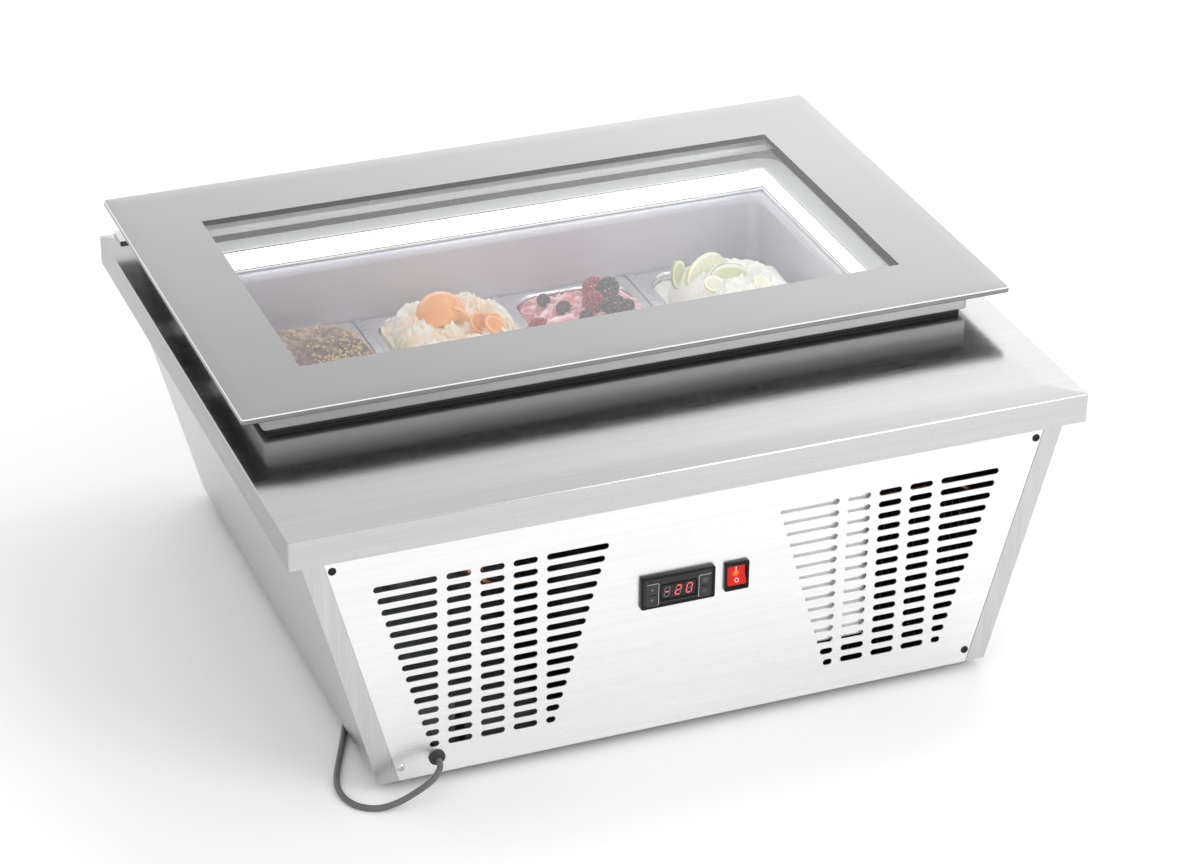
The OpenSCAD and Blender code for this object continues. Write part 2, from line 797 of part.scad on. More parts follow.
module lid_gasket() {
    color([0.05, 0.05, 0.05]) difference() {
        block([6 - frame_x, frame_y0 + 6, top_z + gap], [frame_x - 6, frame_y1 - 6, frame_z0]);
        block([18 - frame_x, frame_y0 + 18, top_z - 1], [frame_x - 18, frame_y1 - 18, frame_z0 + 1]);
    }
}

clip_ys = [24, 160];

module lid_clips() {
    color("gainsboro") for (s = [-1, 1], y = clip_ys) {
        block([s * (frame_x + 12) - 12, y - 16, glass_z0 - 2], [s * (frame_x + 12) + 12, y + 16, glass_z0]);
        block([s * (frame_x + 1) - 1, y - 12, glass_z0 - 16],
            [s * (frame_x + 1) + 1, y + 12, glass_z0 - 1]);
    }
}

hinge_xs = [-335, 335];
hinge_y = 320;
hinge_z = 316;
knuckle_r = 7;

module hinge_bases() {
    color("darkgray") for (x = hinge_xs) difference() {
        union() {
            block([x + 10 * sign(x) - 40, hinge_y - 17, top_z], [x + 10 * sign(x) + 40, hinge_y + 9, top_z + 3]);
            block([x - 10, hinge_y - 6, top_z + 1], [x + 10, hinge_y + 6, hinge_z]);
            bar_x(hinge_y, hinge_z, knuckle_r, x - 10, x + 10);
        }
        bar_x(hinge_y, hinge_z, 3.02, x - 11, x + 11);
    }
}

module hinge_arms() {
    color("darkgray") for (x = hinge_xs) difference() {
        union() {
            for (s = [-1, 1]) {
                bar_x(hinge_y, hinge_z, knuckle_r, x + s * 20.25 - 9.75, x + s * 20.25 + 9.75);
                block([x + s * 20.25 - 9.75, frame_y1, hinge_z - 4],
                    [x + s * 20.25 + 9.75, hinge_y, hinge_z + 6]);
            }
            block([x - 30, frame_y1, hinge_z - 4], [x + 30, frame_y1 + 3, hinge_z + 12]);
        }
        bar_x(hinge_y, hinge_z, 3.05, x - 32, x + 32);
    }
}

module hinge_pins() {
    color("silver") for (x = hinge_xs) bar_x(hinge_y, hinge_z, 3, x - 31, x + 31);
}

// ---- pans and their contents -----------------------------------------------------------------

pan_wall = 1.2;
pan_lip = 9;
pan_corner = 30;
pan_taper = 0.95;
pan_floor = rim_z - pan_h;

// A tapered, round-cornered tub whose top outline is w by d
module tub(w, d, r, z0, z1) {
    translate([0, 0, z0]) linear_extrude(z1 - z0, scale = 1 / pan_taper)
        round_rect(w * pan_taper, d * pan_taper, r * pan_taper, $fn = 32);
}

module pan(i) {
    w = pan_w - 2 * pan_lip;
    d = pan_d - 2 * pan_lip;
    color("lightgray") translate([pan_pitch * (i - 1.5), well_y, 0]) difference() {
        union() {
            tub(w, d, pan_corner, pan_floor, rim_z - 0.2);
            translate([0, 0, rail_z]) linear_extrude(1.5) round_rect(pan_w, pan_d, 8);
        }
        tub(w - 2 * pan_wall, d - 2 * pan_wall, pan_corner - pan_wall, pan_floor + pan_wall, rim_z + 0.01);
    }
}

// Ice cream: it fills the pan and rises in a long mound of the given height above the rim
module mound(i, rise) {
    w = pan_w - 2 * pan_lip - 2 * pan_wall - 2;
    d = pan_d - 2 * pan_lip - 2 * pan_wall - 2;
    translate([pan_pitch * (i - 1.5), well_y, 0]) hull() {
        tub(w - 2, d - 2, pan_corner - 4, pan_floor + pan_wall + gap, rim_z - 8);
        translate([0, -8, rim_z + rise - 16]) scale([1, 2.15, 0.32]) sphere(r = 50, $fn = 24);
    }
}

module pan_1() {
    pan(0);
}

module pan_2() {
    pan(1);
}

module pan_3() {
    pan(2);
}

module pan_4() {
    pan(3);
}

module ice_cream_1() {
    color("sienna") mound(0, 34);
}

module ice_cream_2() {
    color("moccasin") mound(1, 38);
}

module ice_cream_3() {
    color("pink") mound(2, 18);
}

module ice_cream_4() {
    color("ivory") mound(3, 40);
}

worktop();
side_panel_left();
side_panel_right();
front_panel();
air_baffle();
rear_panel();
base_plate();
bulkhead_panel();
feet();
panel_screws();
well_liner();
foam_insulation();
evaporator_coil();
pan_rails();
led_housing();
led_strip();
led_diffuser();
compressor_shell();
compressor_mounts();
compressor_terminal_cover();
condenser_fins();
condenser_tube();
fan_shroud();
fan_bracket();
fan_motor();
fan_blade();
filter_drier();
suction_pipe();
discharge_pipe();
capillary_pipe();
electrical_box();
controller_housing();
controller_lens();
button_up();
button_down();
button_set();
button_standby();
switch_housing();
switch_rocker();
cord_grommet();
power_cord();
cord_coil();
cord_tie();
plug_body();
plug_pins();
lid_glass();
lid_frame();
lid_gasket();
lid_clips();
hinge_bases();
hinge_arms();
hinge_pins();
pan_1();
pan_2();
pan_3();
pan_4();
ice_cream_1();
ice_cream_2();
ice_cream_3();
ice_cream_4();
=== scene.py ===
"""Countertop ice cream dipping cabinet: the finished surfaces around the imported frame.

The sections follow the cabinet as it is put together: casing, feet, well and light, cold unit,
controls, pans and ice cream, lid, supply cord, and last the floor, the lamps and the camera.
"""

import json
import math

import bmesh
import bpy
import numpy as np
from mathutils import Matrix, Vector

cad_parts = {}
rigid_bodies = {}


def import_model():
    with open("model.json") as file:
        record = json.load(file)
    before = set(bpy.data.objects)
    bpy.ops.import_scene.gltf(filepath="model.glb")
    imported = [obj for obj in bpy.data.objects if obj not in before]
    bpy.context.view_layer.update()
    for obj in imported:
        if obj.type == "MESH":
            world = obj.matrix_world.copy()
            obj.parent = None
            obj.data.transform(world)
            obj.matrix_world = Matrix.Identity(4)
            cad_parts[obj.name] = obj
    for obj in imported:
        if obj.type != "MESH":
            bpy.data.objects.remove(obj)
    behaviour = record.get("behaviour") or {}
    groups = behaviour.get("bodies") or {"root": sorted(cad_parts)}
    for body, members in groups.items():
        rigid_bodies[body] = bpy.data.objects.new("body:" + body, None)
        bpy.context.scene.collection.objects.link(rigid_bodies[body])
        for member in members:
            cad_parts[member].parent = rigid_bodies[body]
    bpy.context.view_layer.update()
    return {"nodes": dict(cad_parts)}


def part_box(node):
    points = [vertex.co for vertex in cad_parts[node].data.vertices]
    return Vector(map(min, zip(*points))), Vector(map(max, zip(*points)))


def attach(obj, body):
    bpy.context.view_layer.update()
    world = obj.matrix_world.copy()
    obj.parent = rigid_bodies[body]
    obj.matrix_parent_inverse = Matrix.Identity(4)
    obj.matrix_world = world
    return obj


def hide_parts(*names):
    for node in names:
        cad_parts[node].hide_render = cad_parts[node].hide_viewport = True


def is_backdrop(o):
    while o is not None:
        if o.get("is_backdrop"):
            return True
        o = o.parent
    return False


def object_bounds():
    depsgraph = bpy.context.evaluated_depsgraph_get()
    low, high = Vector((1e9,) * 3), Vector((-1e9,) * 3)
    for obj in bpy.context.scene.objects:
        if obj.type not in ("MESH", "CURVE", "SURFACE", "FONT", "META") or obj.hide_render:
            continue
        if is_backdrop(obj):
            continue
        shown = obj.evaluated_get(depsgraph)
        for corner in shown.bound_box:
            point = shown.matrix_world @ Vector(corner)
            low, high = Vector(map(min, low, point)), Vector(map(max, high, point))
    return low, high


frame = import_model()

# ---- Casing sheets ---------------------------------------------------------------------------
# Flanks, front, back and folded flanges are 1.5 mm stainless sheet, ground with a belt so that
# fine scratches run along the sheet. The hidden base and bulkhead are galvanised.


def finish(name, colour, roughness, metallic=0.0, **plain):
    """A material of one Principled shader; plain gives more of its sockets by name."""
    material = bpy.data.materials.new(name)
    material.use_nodes = True
    shader = material.node_tree.nodes["Principled BSDF"]
    shader.inputs["Base Color"].default_value = (*colour, 1)
    shader.inputs["Roughness"].default_value = roughness
    shader.inputs["Metallic"].default_value = metallic
    for words, value in plain.items():
        shader.inputs[words.replace("_", " ")].default_value = value
    return material


def node(material, kind, output=0, settings=(), **inputs):
    """Adds a node and returns one of its outputs; an input is a value or another output."""
    made = material.node_tree.nodes.new("ShaderNode" + kind)
    for key, value in settings:
        setattr(made, key, value)
    for words, value in inputs.items():
        socket = made.inputs[words.replace("_", " ")]
        if isinstance(value, bpy.types.NodeSocket):
            material.node_tree.links.new(value, socket)
        else:
            socket.default_value = value
    return made.outputs[output]


def drive(material, words, source):
    """Feeds one of the Principled shader's sockets from a node's output."""
    shader = material.node_tree.nodes["Principled BSDF"]
    material.node_tree.links.new(source, shader.inputs[words])


def grain(material, stretch, detail=3.0, roughness=0.55):
    """Noise in the object's own coordinates, in features per metre along X, Y and Z."""
    place = node(material, "TexCoord", 3)
    scaled = node(material, "Mapping", Vector=place, Scale=stretch)
    return node(material, "TexNoise", Vector=scaled, Scale=1.0, Detail=detail, Roughness=roughness)


def spread(material, value, low, high, start=0.3, end=0.7):
    """Maps a value between start and end to a range from low to high."""
    return node(material, "MapRange", Value=value, From_Min=start, From_Max=end,
                To_Min=low, To_Max=high)


def blend_colours(material, share, first, second):
    """Mixes two colours, each three numbers or an output, by a share from 0 to 1."""
    first = (*first, 1) if isinstance(first, (tuple, list)) else first
    second = (*second, 1) if isinstance(second, (tuple, list)) else second
    return node(material, "MixRGB", Fac=share, Color1=first, Color2=second)


def relief(material, height, distance, strength=1.0):
    """Raises the surface's shading by a height pattern, distance metres deep."""
    drive(material, "Normal", node(material, "Bump", Height=height, Distance=distance,
                                   Strength=strength))


def brushed(name, colour, roughness, along, contrast=0.06):
    """Belt-ground steel: scratches drawn out along one axis, over slow clouding."""
    steel = finish(name, colour, roughness, 1.0)
    fine = grain(steel, [14.0 if axis == along else 1100.0 for axis in "xyz"], 4.0, 0.7)
    broad = grain(steel, [2.0 if axis == along else 160.0 for axis in "xyz"], 2.0)
    dark = [c * (1 - contrast) for c in colour]
    light = [min(1.0, c * (1 + contrast)) for c in colour]
    share = spread(steel, blend_colours(steel, 0.35, fine, broad), 0.0, 1.0, 0.35, 0.65)
    drive(steel, "Base Color", blend_colours(steel, share, dark, light))
    drive(steel, "Roughness", spread(steel, fine, roughness - 0.07, roughness + 0.07))
    relief(steel, fine, 0.00003, 0.35)
    return steel


def dress(material, *names):
    """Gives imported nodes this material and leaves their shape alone."""
    for name in names:
        for holder in frame["nodes"][name].material_slots:
            holder.material = material


STEEL = (0.80, 0.80, 0.80)
# Painted light and shade on one stainless: the front panel's steel is painted lighter, and the flanks'
# darker, than the back's.
steel_front_painted_light = brushed("steel_grain_across", (0.86, 0.86, 0.86), 0.32, "x", 0.04)
steel_flank_painted_shade = brushed("steel_grain_upright", (0.57, 0.57, 0.57), 0.32, "z", 0.08)
steel_back = brushed("steel_grain_back", STEEL, 0.34, "x")
dress(steel_front_painted_light, "front_panel")
dress(steel_flank_painted_shade, "side_panel_left", "side_panel_right")
dress(steel_back, "rear_panel")


def galvanised(name, colour):
    """Hot-dipped zinc: angular crystal patches a centimetre across, some duller."""
    zinc = finish(name, colour, 0.45, 0.85)
    place = node(zinc, "TexCoord", 3)
    patches = node(zinc, "TexVoronoi", 1, Vector=place, Scale=90.0, Randomness=1.0)
    tone = node(zinc, "SeparateColor", Color=patches)
    light = [min(1.0, c * 1.35) for c in colour]
    drive(zinc, "Base Color", blend_colours(zinc, tone, colour, light))
    drive(zinc, "Roughness", spread(zinc, tone, 0.32, 0.6, 0.0, 1.0))
    return zinc


zinc_sheet = galvanised("zinc_sheet", (0.38, 0.40, 0.42))
dress(zinc_sheet, "base_plate", "bulkhead_panel", "fan_bracket")
# Painted light: the baffle behind the slots is painted near white, standing in for a bright reflection on a
# sheet that sits in shade.
dress(finish("baffle_painted_light", (0.96, 0.96, 0.96), 0.30, 0.5), "air_baffle")

# ---- Worktop -------------------------------------------------------------------------------------
# The worktop is one stainless sheet with a skirt folded down all round and mitred, welded and
# ground at the corners. Its folds have a small bend radius, and the well's window is cut in it.


def rounded_loop(half_x, half_y, radius, steps=6, centre=(0.0, 0.0)):
    """Points round a rectangle, anticlockwise and closed: a quarter circle at each corner."""
    quarter = np.repeat(np.arange(4), steps)
    angle = (quarter + np.tile(np.linspace(0, 1, steps), 4)) * np.pi / 2
    side_x = np.array([1, -1, -1, 1])[quarter] * (half_x - radius)
    side_y = np.array([1, 1, -1, -1])[quarter] * (half_y - radius)
    x = centre[0] + side_x + radius * np.cos(angle)
    y = centre[1] + side_y + radius * np.sin(angle)
    loop = np.stack([x, y], 1)
    return np.vstack([loop, loop[:1]])


def fillet(points, radius, steps=5):
    """A profile with its inner corners turned to arcs that touch both neighbouring lines."""
    points = np.asarray(points, float)
    out = [points[:1]]
    for before, corner, after in zip(points[:-2], points[1:-1], points[2:]):
        a, b = before - corner, after - corner
        la, lb = np.linalg.norm(a), np.linalg.norm(b)
        a, b = a / la, b / lb
        half = math.acos(float(np.clip(a @ b, -1, 1))) / 2
        reach = min(radius / math.tan(half), 0.49 * la, 0.49 * lb)
        r = reach * math.tan(half)
        middle = corner + (a + b) / np.linalg.norm(a + b) * r / math.sin(half)
        start, end = corner + a * reach - middle, corner + b * reach - middle
        turn = np.linspace(0, 1, steps)[:, None]
        full = math.pi - 2 * half
        arc = (start * np.sin((1 - turn) * full) + end * np.sin(turn * full)) / math.sin(full)
        out.append(middle + arc)
    out.append(points[-1:])
    return np.vstack(out)


def piece(name, grids, materials, which=None, body="cabinet", sharp=35.0, stands_for=(),
          values=None):
    """A mesh from grids of points, each rows by columns by XYZ, with a face in every cell.

    Doubled points are merged, which closes seams and poles, normals are turned outwards, and
    edges steeper than sharp degrees stay crisp. which(centres, normals) picks materials, and
    values holds a number for every point, by the name that its material reads it under.
    """
    points, faces, offset = [], [], 0
    for grid in grids:
        grid = np.asarray(grid, float)
        index = offset + np.arange(grid.shape[0] * grid.shape[1]).reshape(grid.shape[:2])
        cells = np.stack([index[:-1, :-1], index[1:, :-1], index[1:, 1:], index[:-1, 1:]], -1)
        points.append(grid.reshape(-1, 3))
        faces.append(cells.reshape(-1, 4))
        offset += index.size
    mesh = bpy.data.meshes.new(name)
    mesh.from_pydata(np.vstack(points).tolist(), [], np.vstack(faces).tolist())
    for word, numbers in (values or {}).items():
        flat = np.concatenate([np.ravel(n) for n in numbers]).astype(np.float32)
        mesh.attributes.new(word, "FLOAT", "POINT").data.foreach_set("value", flat)
    shape = bmesh.new()
    shape.from_mesh(mesh)
    bmesh.ops.remove_doubles(shape, verts=shape.verts, dist=2e-6)
    bmesh.ops.dissolve_degenerate(shape, edges=shape.edges, dist=1e-6)
    bmesh.ops.recalc_face_normals(shape, faces=shape.faces)
    shape.to_mesh(mesh)
    shape.free()
    mesh.shade_smooth()
    mesh.set_sharp_from_angle(angle=math.radians(sharp))
    for material in materials:
        mesh.materials.append(material)
    if which is not None:
        count = len(mesh.polygons)
        centres, normals = np.zeros(count * 3), np.zeros(count * 3)
        mesh.polygons.foreach_get("center", centres)
        mesh.polygons.foreach_get("normal", normals)
        chosen = which(centres.reshape(-1, 3), normals.reshape(-1, 3))
        mesh.polygons.foreach_set("material_index", np.asarray(chosen, np.int32))
    made = bpy.data.objects.new(name, mesh)
    bpy.context.scene.collection.objects.link(made)
    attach(made, body)
    if stands_for:
        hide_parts(*stands_for)
    return made


def at_height(loop, z):
    """A flat loop lifted to one height, or to a height for each of its points."""
    return np.column_stack([loop, np.full(len(loop), z) if np.isscalar(z) else z])


top_low, top_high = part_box("worktop")
sheet = 0.0015
bend = 0.0014
window_half = (0.314, 0.168)
well_y = 0.079
top_half = (top_high.x, top_high.y)


def skirt_row(inset, z):
    """The worktop's outline, this far inside its outer face, at height z."""
    radius = max(0.002 - inset, 0.0004)
    return at_height(rounded_loop(top_half[0] - inset, top_half[1] - inset, radius), z)


def window_row(z):
    """The edge of the window cut in the worktop."""
    return at_height(rounded_loop(*window_half, 0.0012, centre=(0, well_y)), z)


fold = fillet([(0, top_low.z), (0, top_high.z), (0.04, top_high.z)], bend)
under = top_high.z - sheet
rows = [skirt_row(sheet, top_low.z)]
rows += [skirt_row(inset, z) for inset, z in fold]
rows += [window_row(top_high.z), window_row(under), skirt_row(sheet, under)]
rows += [skirt_row(sheet, top_low.z)]
# Painted shade: the skirts at the two sides are painted far darker than the top and the front and back skirts
# of the same sheet.
steel_top = brushed("steel_worktop", (0.54, 0.54, 0.542), 0.16, "x", 0.04)
skirt_side_painted_shade = brushed("steel_skirt_side", (0.36, 0.36, 0.36), 0.28, "y", 0.08)
skirt_front = brushed("steel_skirt_front", (0.56, 0.56, 0.56), 0.28, "x")


def skirt_material(centres, normals):
    """0 is the top, 1 the skirts at the sides and 2 those along the front and the back."""
    return np.where(abs(normals[:, 0]) > 0.9, 1, np.where(abs(normals[:, 1]) > 0.9, 2, 0))


piece("worktop_sheet", [rows], [steel_top, skirt_side_painted_shade, skirt_front], which=skirt_material,
      sharp=50.0, stands_for=["worktop"])

# ---- Screws and feet --------------------------------------------------------------------------------
# Black oxide pan-head screws hold the front and back panels; each head has a cross recess.
# The feet are clear silicone discs, slightly hollow underneath and cloudy with handling.

flank_base, flank_top = 0.316, 0.386
panel_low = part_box("front_panel")[0]
rear_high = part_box("rear_panel")[1]


def flank(z):
    """Half the body's width at height z."""
    return flank_base + (flank_top - flank_base) * (z - 0.010) / 0.260


def screw_head(x, y, z, face):
    """A domed head about the Y axis: radius against height, sunk along a cross in its middle."""
    rho = np.array([0, 0.12, 0.25, 0.4, 0.5, 0.62, 0.75, 0.88, 0.97, 1.0, 1.0, 0.0])[:, None]
    turn = np.linspace(0, 2 * np.pi, 49)[None, :]
    across, up = rho * np.cos(turn), rho * np.sin(turn)
    rise = 0.0017 * np.sqrt(np.clip(1.02 - rho**2, 0, 1)) + 0 * turn
    arm = (np.minimum(abs(across), abs(up)) < 0.14) & (rho < 0.7)
    rise = rise - 0.0009 * arm
    rise[-2:] = 0
    return np.stack([x + 0.004 * across, y + face * rise, z + 0.004 * up], -1)


black_screw = finish("screw_black_oxide", (0.03, 0.03, 0.032), 0.38, 0.6)
drive(black_screw, "Roughness", spread(black_screw, grain(black_screw, (900,) * 3), 0.28, 0.5))
heads = [screw_head(side * (flank(z) - 0.026), panel_low.y, z, -1)
         for side in (-1, 1) for z in (0.024, 0.252)]
heads += [screw_head(side * (flank(z) - 0.009), rear_high.y, z, 1)
          for side in (-1, 1) for z in (0.030, 0.150, 0.262)]
bright_screw = brushed("screw_bright", (0.7, 0.7, 0.7), 0.18, "x")
piece("panel_screw_heads", heads, [black_screw, bright_screw],
      which=lambda centres, normals: (centres[:, 0] < 0) & (centres[:, 1] < 0) & (centres[:, 2] < 0.1),
      stands_for=["panel_screws"])


def lathe(profile, centre, steps=48):
    """Turns a profile of (radius, height) pairs about an upright axis through centre."""
    profile = np.asarray(profile, float)
    turn = np.linspace(0, 2 * np.pi, steps + 1)[None, :]
    radius, height = profile[:, 0, None], profile[:, 1, None]
    return np.stack([centre[0] + radius * np.cos(turn), centre[1] + radius * np.sin(turn),
                     centre[2] + height + 0 * turn], -1)


silicone = finish("clear_silicone", (0.80, 0.82, 0.81), 0.32, Transmission_Weight=0.55, IOR=1.41)
drive(silicone, "Roughness", spread(silicone, grain(silicone, (260,) * 3), 0.25, 0.5))
foot_profile = fillet([(0, 0.0006), (0.012, 0.0006), (0.013, 0), (0.0175, 0), (0.019, 0.0025),
                       (0.019, 0.0085), (0.017, 0.010), (0, 0.010)], 0.0008)
foot_xs, foot_ys = (-0.292, 0.292), (-0.286, 0.250)
piece("feet_silicone", [lathe(foot_profile, (x, y, 0)) for x in foot_xs for y in foot_ys],
      [silicone], stands_for=["feet"])

# ---- Well, insulation and light ---------------------------------------------------------------------
# The well is a deep-drawn stainless tub with a rolled rim. Foam and the evaporator wrap it, rails
# carry the pans, and an opal strip behind a white housing lights it from all four sides.


def swept(profile, half, radius, centre, steps=8):
    """Carries a profile of (inset, height) pairs round a rectangle with round corners.

    The corner radius shrinks with the inset but stays above a fifth of the outer one.
    """
    rows = []
    for inset, z in profile:
        r = max(radius - inset, radius * 0.2)
        rows.append(at_height(rounded_loop(half[0] - inset, half[1] - inset, r, steps, centre), z))
    return np.array(rows)


def pole(grid, last=True):
    """Closes a swept grid with a row whose points all lie at the middle of its end row."""
    edge = grid[-1] if last else grid[0]
    middle = np.broadcast_to(edge[:-1].mean(0), edge.shape)[None]
    return np.concatenate([grid, middle] if last else [middle, grid])


liner_low, liner_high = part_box("well_liner")
rail_z = 0.196
well_half = (0.304, 0.158)
wall_line = fillet([(-0.022, liner_high.z), (0.0, liner_high.z), (0.0, rail_z), (0.006, rail_z),
                    (0.006, liner_low.z + 0.0015), (0.05, liner_low.z + 0.0015)], 0.009, 7)
liner_inside = swept(wall_line, well_half, 0.016, (0, well_y))
liner_outside = swept(wall_line + np.array([-0.0014, -0.0014]), well_half, 0.016, (0, well_y))
liner_grid = np.concatenate([pole(liner_inside)[::-1], pole(liner_outside)])
liner_steel = finish("liner_steel", (0.62, 0.59, 0.66), 0.5, 0.45)
clouds = grain(liner_steel, (6, 6, 3), 2.0)
draw_lines = grain(liner_steel, (220, 220, 8), 3.0)
drive(liner_steel, "Base Color", blend_colours(liner_steel, spread(liner_steel, clouds, 0, 1),
                                               (0.46, 0.43, 0.49), (0.56, 0.53, 0.58)))
drive(liner_steel, "Roughness", spread(liner_steel, draw_lines, 0.42, 0.6))
relief(liner_steel, draw_lines, 0.00004, 0.4)
piece("well_tub", [liner_grid], [liner_steel], stands_for=["well_liner"])

rail_steel = brushed("rail_steel", (0.72, 0.72, 0.73), 0.28, "x", 0.06)
dress(rail_steel, "pan_rails")

foam = finish("injected_foam", (0.80, 0.70, 0.45), 0.9)
cells = grain(foam, (500,) * 3, 4.0)
drive(foam, "Base Color", blend_colours(foam, cells, (0.66, 0.54, 0.30), (0.88, 0.80, 0.58)))
relief(foam, cells, 0.0008)
dress(foam, "foam_insulation")

copper = finish("copper_tube", (0.78, 0.36, 0.20), 0.3, 1.0)
tarnish = grain(copper, (45,) * 3, 4.0, 0.6)
drive(copper, "Base Color", blend_colours(copper, spread(copper, tarnish, 0, 1),
                                          (0.42, 0.17, 0.10), (0.83, 0.42, 0.25)))
drive(copper, "Roughness", spread(copper, tarnish, 0.42, 0.24))
dress(copper, "evaporator_coil", "suction_pipe", "discharge_pipe",
      "capillary_pipe", "filter_drier")


def moulded(name, colour, roughness, pebble=1400.0, depth=0.00004):
    """Moulded plastic or enamel: a fine pebble and slow changes of gloss."""
    skin = finish(name, colour, roughness)
    fine = grain(skin, (pebble,) * 3, 2.0)
    slow = grain(skin, (35.0,) * 3, 3.0)
    lighter = [min(1.0, c * 1.25 + 0.004) for c in colour]
    drive(skin, "Base Color", blend_colours(skin, spread(skin, slow, 0, 1), colour, lighter))
    drive(skin, "Roughness", spread(skin, slow, roughness - 0.06, roughness + 0.08))
    relief(skin, fine, depth, 0.6)
    return skin


white_plastic = finish("light_housing_white", (0.84, 0.85, 0.85), 0.4)
relief(white_plastic, grain(white_plastic, (1500,) * 3), 0.00005, 0.5)
dress(white_plastic, "led_housing")

strip = finish("light_strip", (0.9, 0.88, 0.7), 0.5, Emission_Strength=1.0)
drive(strip, "Base Color", blend_colours(strip, grain(strip, (120,) * 3), (0.85, 0.8, 0.5),
                                         (0.95, 0.95, 0.9)))
dress(strip, "led_strip")

opal = finish("opal_diffuser", (0.92, 0.93, 0.94), 0.45, Emission_Strength=1.0)


def glow(material, half, centre_y, fade, strength):
    """Light along each side of a rectangle, falling to a little at its four corners."""
    place = node(material, "TexCoord", 3)
    axes = node(material, "SeparateXYZ", Vector=place).node
    shares = []
    for axis, middle, reach in ((0, 0.0, half[0]), (1, centre_y, half[1])):
        away = node(material, "Math", settings=[("operation", "SUBTRACT")])
        material.node_tree.links.new(axes.outputs[axis], away.node.inputs[0])
        away.node.inputs[1].default_value = middle
        size = node(material, "Math", settings=[("operation", "ABSOLUTE")], Value=away)
        shares.append(spread(material, size, 1.0, 0.0, reach - fade, reach))
    least = node(material, "Math", settings=[("operation", "MAXIMUM")])
    for k, share in enumerate(shares):
        material.node_tree.links.new(share, least.node.inputs[k])
    drive(material, "Emission Strength", spread(material, least, 0.15 * strength, strength, 0, 1))


opal.node_tree.nodes["Principled BSDF"].inputs["Emission Color"].default_value = (0.93, 0.97, 1, 1)
glow(opal, window_half, well_y, 0.05, 3.6)
dress(opal, "led_diffuser")

trim_line = fillet([(-0.024, top_high.z + 0.0001), (-0.024, top_high.z + 0.001),
                    (-0.0006, top_high.z + 0.001), (-0.0006, top_high.z - 0.002)], 0.0008, 4)
trim = swept(trim_line, window_half, 0.004, (0, well_y))
# Painted light: the trim glows faintly though it holds no lamp, lifting it out of the frame's shade.
trim_painted_glow = finish("trim_painted_glow", (0.92, 0.92, 0.92), 0.35,
                  Emission_Color=(1, 1, 1, 1), Emission_Strength=0.18)
drive(trim_painted_glow, "Roughness", spread(trim_painted_glow, grain(trim_painted_glow, (400,) * 3), 0.3, 0.45))
piece("window_trim", [trim], [trim_painted_glow])
rim_bead = fillet([(-0.0002, liner_high.z), (0.0022, liner_high.z), (0.0022, liner_high.z + 0.0034),
                   (-0.0002, liner_high.z + 0.0034)], 0.0012, 5)
seam_line = rim_bead * (0.5, 0.28) + (0, liner_high.z * 0.72 + 0.0033)
seam_grey = moulded("light_seam", (0.10, 0.10, 0.10), 0.5)
piece("well_bead", [swept(rim_bead, window_half, 0.004, (0, well_y))], [rail_steel])
piece("light_seam", [swept(seam_line, window_half, 0.0015, (0, well_y))], [seam_grey])

# ---- Cold unit ---------------------------------------------------------------------------------------
# Compressor, condenser, fan, drier and boxes sit behind the slotted front. Shells are stove
# enamelled, mounts are rubber, the condenser's fins and tube have a black coat.

enamel = moulded("black_enamel", (0.022, 0.022, 0.025), 0.3, 500.0)
rubber = moulded("black_rubber", (0.026, 0.026, 0.027), 0.62)
black_plastic = moulded("black_plastic", (0.03, 0.03, 0.033), 0.42)
grey_plastic = moulded("grey_plastic", (0.16, 0.16, 0.17), 0.5)
fin_metal = brushed("fin_black_coat", (0.045, 0.045, 0.048), 0.5, "z")
fan_metal = brushed("fan_aluminium", (0.62, 0.62, 0.60), 0.42, "x")
dress(enamel, "compressor_shell", "fan_motor")
dress(rubber, "compressor_mounts")
dress(black_plastic, "compressor_terminal_cover", "fan_shroud")
dress(grey_plastic, "electrical_box")
dress(fin_metal, "condenser_fins", "condenser_tube")
dress(fan_metal, "fan_blade")

# ---- Controls ----------------------------------------------------------------------------------------
# A panel controller with a raised glossy rim, a sunk display that shows -20 and four outlined
# membrane keys, beside a lit red rocker switch with on and off marks. Digits are 10.8 mm tall.

control_z = 0.1643
face_y = -0.3175
face_black = moulded("controller_face", (0.028, 0.028, 0.03), 0.34, 1500.0, 0.00004)
gloss_black = moulded("controller_gloss", (0.004, 0.004, 0.005), 0.14, 900.0, 0.00001)
key_skin = moulded("key_membrane", (0.036, 0.036, 0.038), 0.38, 1200.0, 0.00003)
lens = moulded("display_lens", (0.02, 0.018, 0.018), 0.10, 900.0, 0.0)
for dark_part in (face_black, gloss_black, key_skin, lens):
    dark_part.node_tree.nodes["Principled BSDF"].inputs["Specular IOR Level"].default_value = 0.2
dress(face_black, "controller_housing")
dress(gloss_black, "switch_housing")
dress(key_skin, "button_up", "button_down", "button_set", "button_standby")
dress(lens, "controller_lens")


def upright_rows(profile, centre, half, radius, front):
    """Carries (inset, height) pairs round an upright rectangle; heights stand out of its front."""
    rows = []
    for inset, lift in profile:
        loop = rounded_loop(half[0] - inset, half[1] - inset, max(radius - inset, 0.0003), 6, centre)
        rows.append(np.column_stack([loop[:, 0], np.full(len(loop), front - lift), loop[:, 1]]))
    return np.array(rows)


def rim(name, centre, half, radius, front, width, material):
    """A raised frame with rounded edges round an upright rectangle."""
    line = fillet([(-0.0002, -0.003), (-0.0002, 0.0009), (width, 0.0009), (width, -0.0008), (0.002, -0.0008),
                   (0.002, -0.003), (-0.0002, -0.003)], 0.0006, 4)
    line = np.vstack([line, line[:1]])
    piece(name, [upright_rows(line, centre, half, radius, front)], [material])


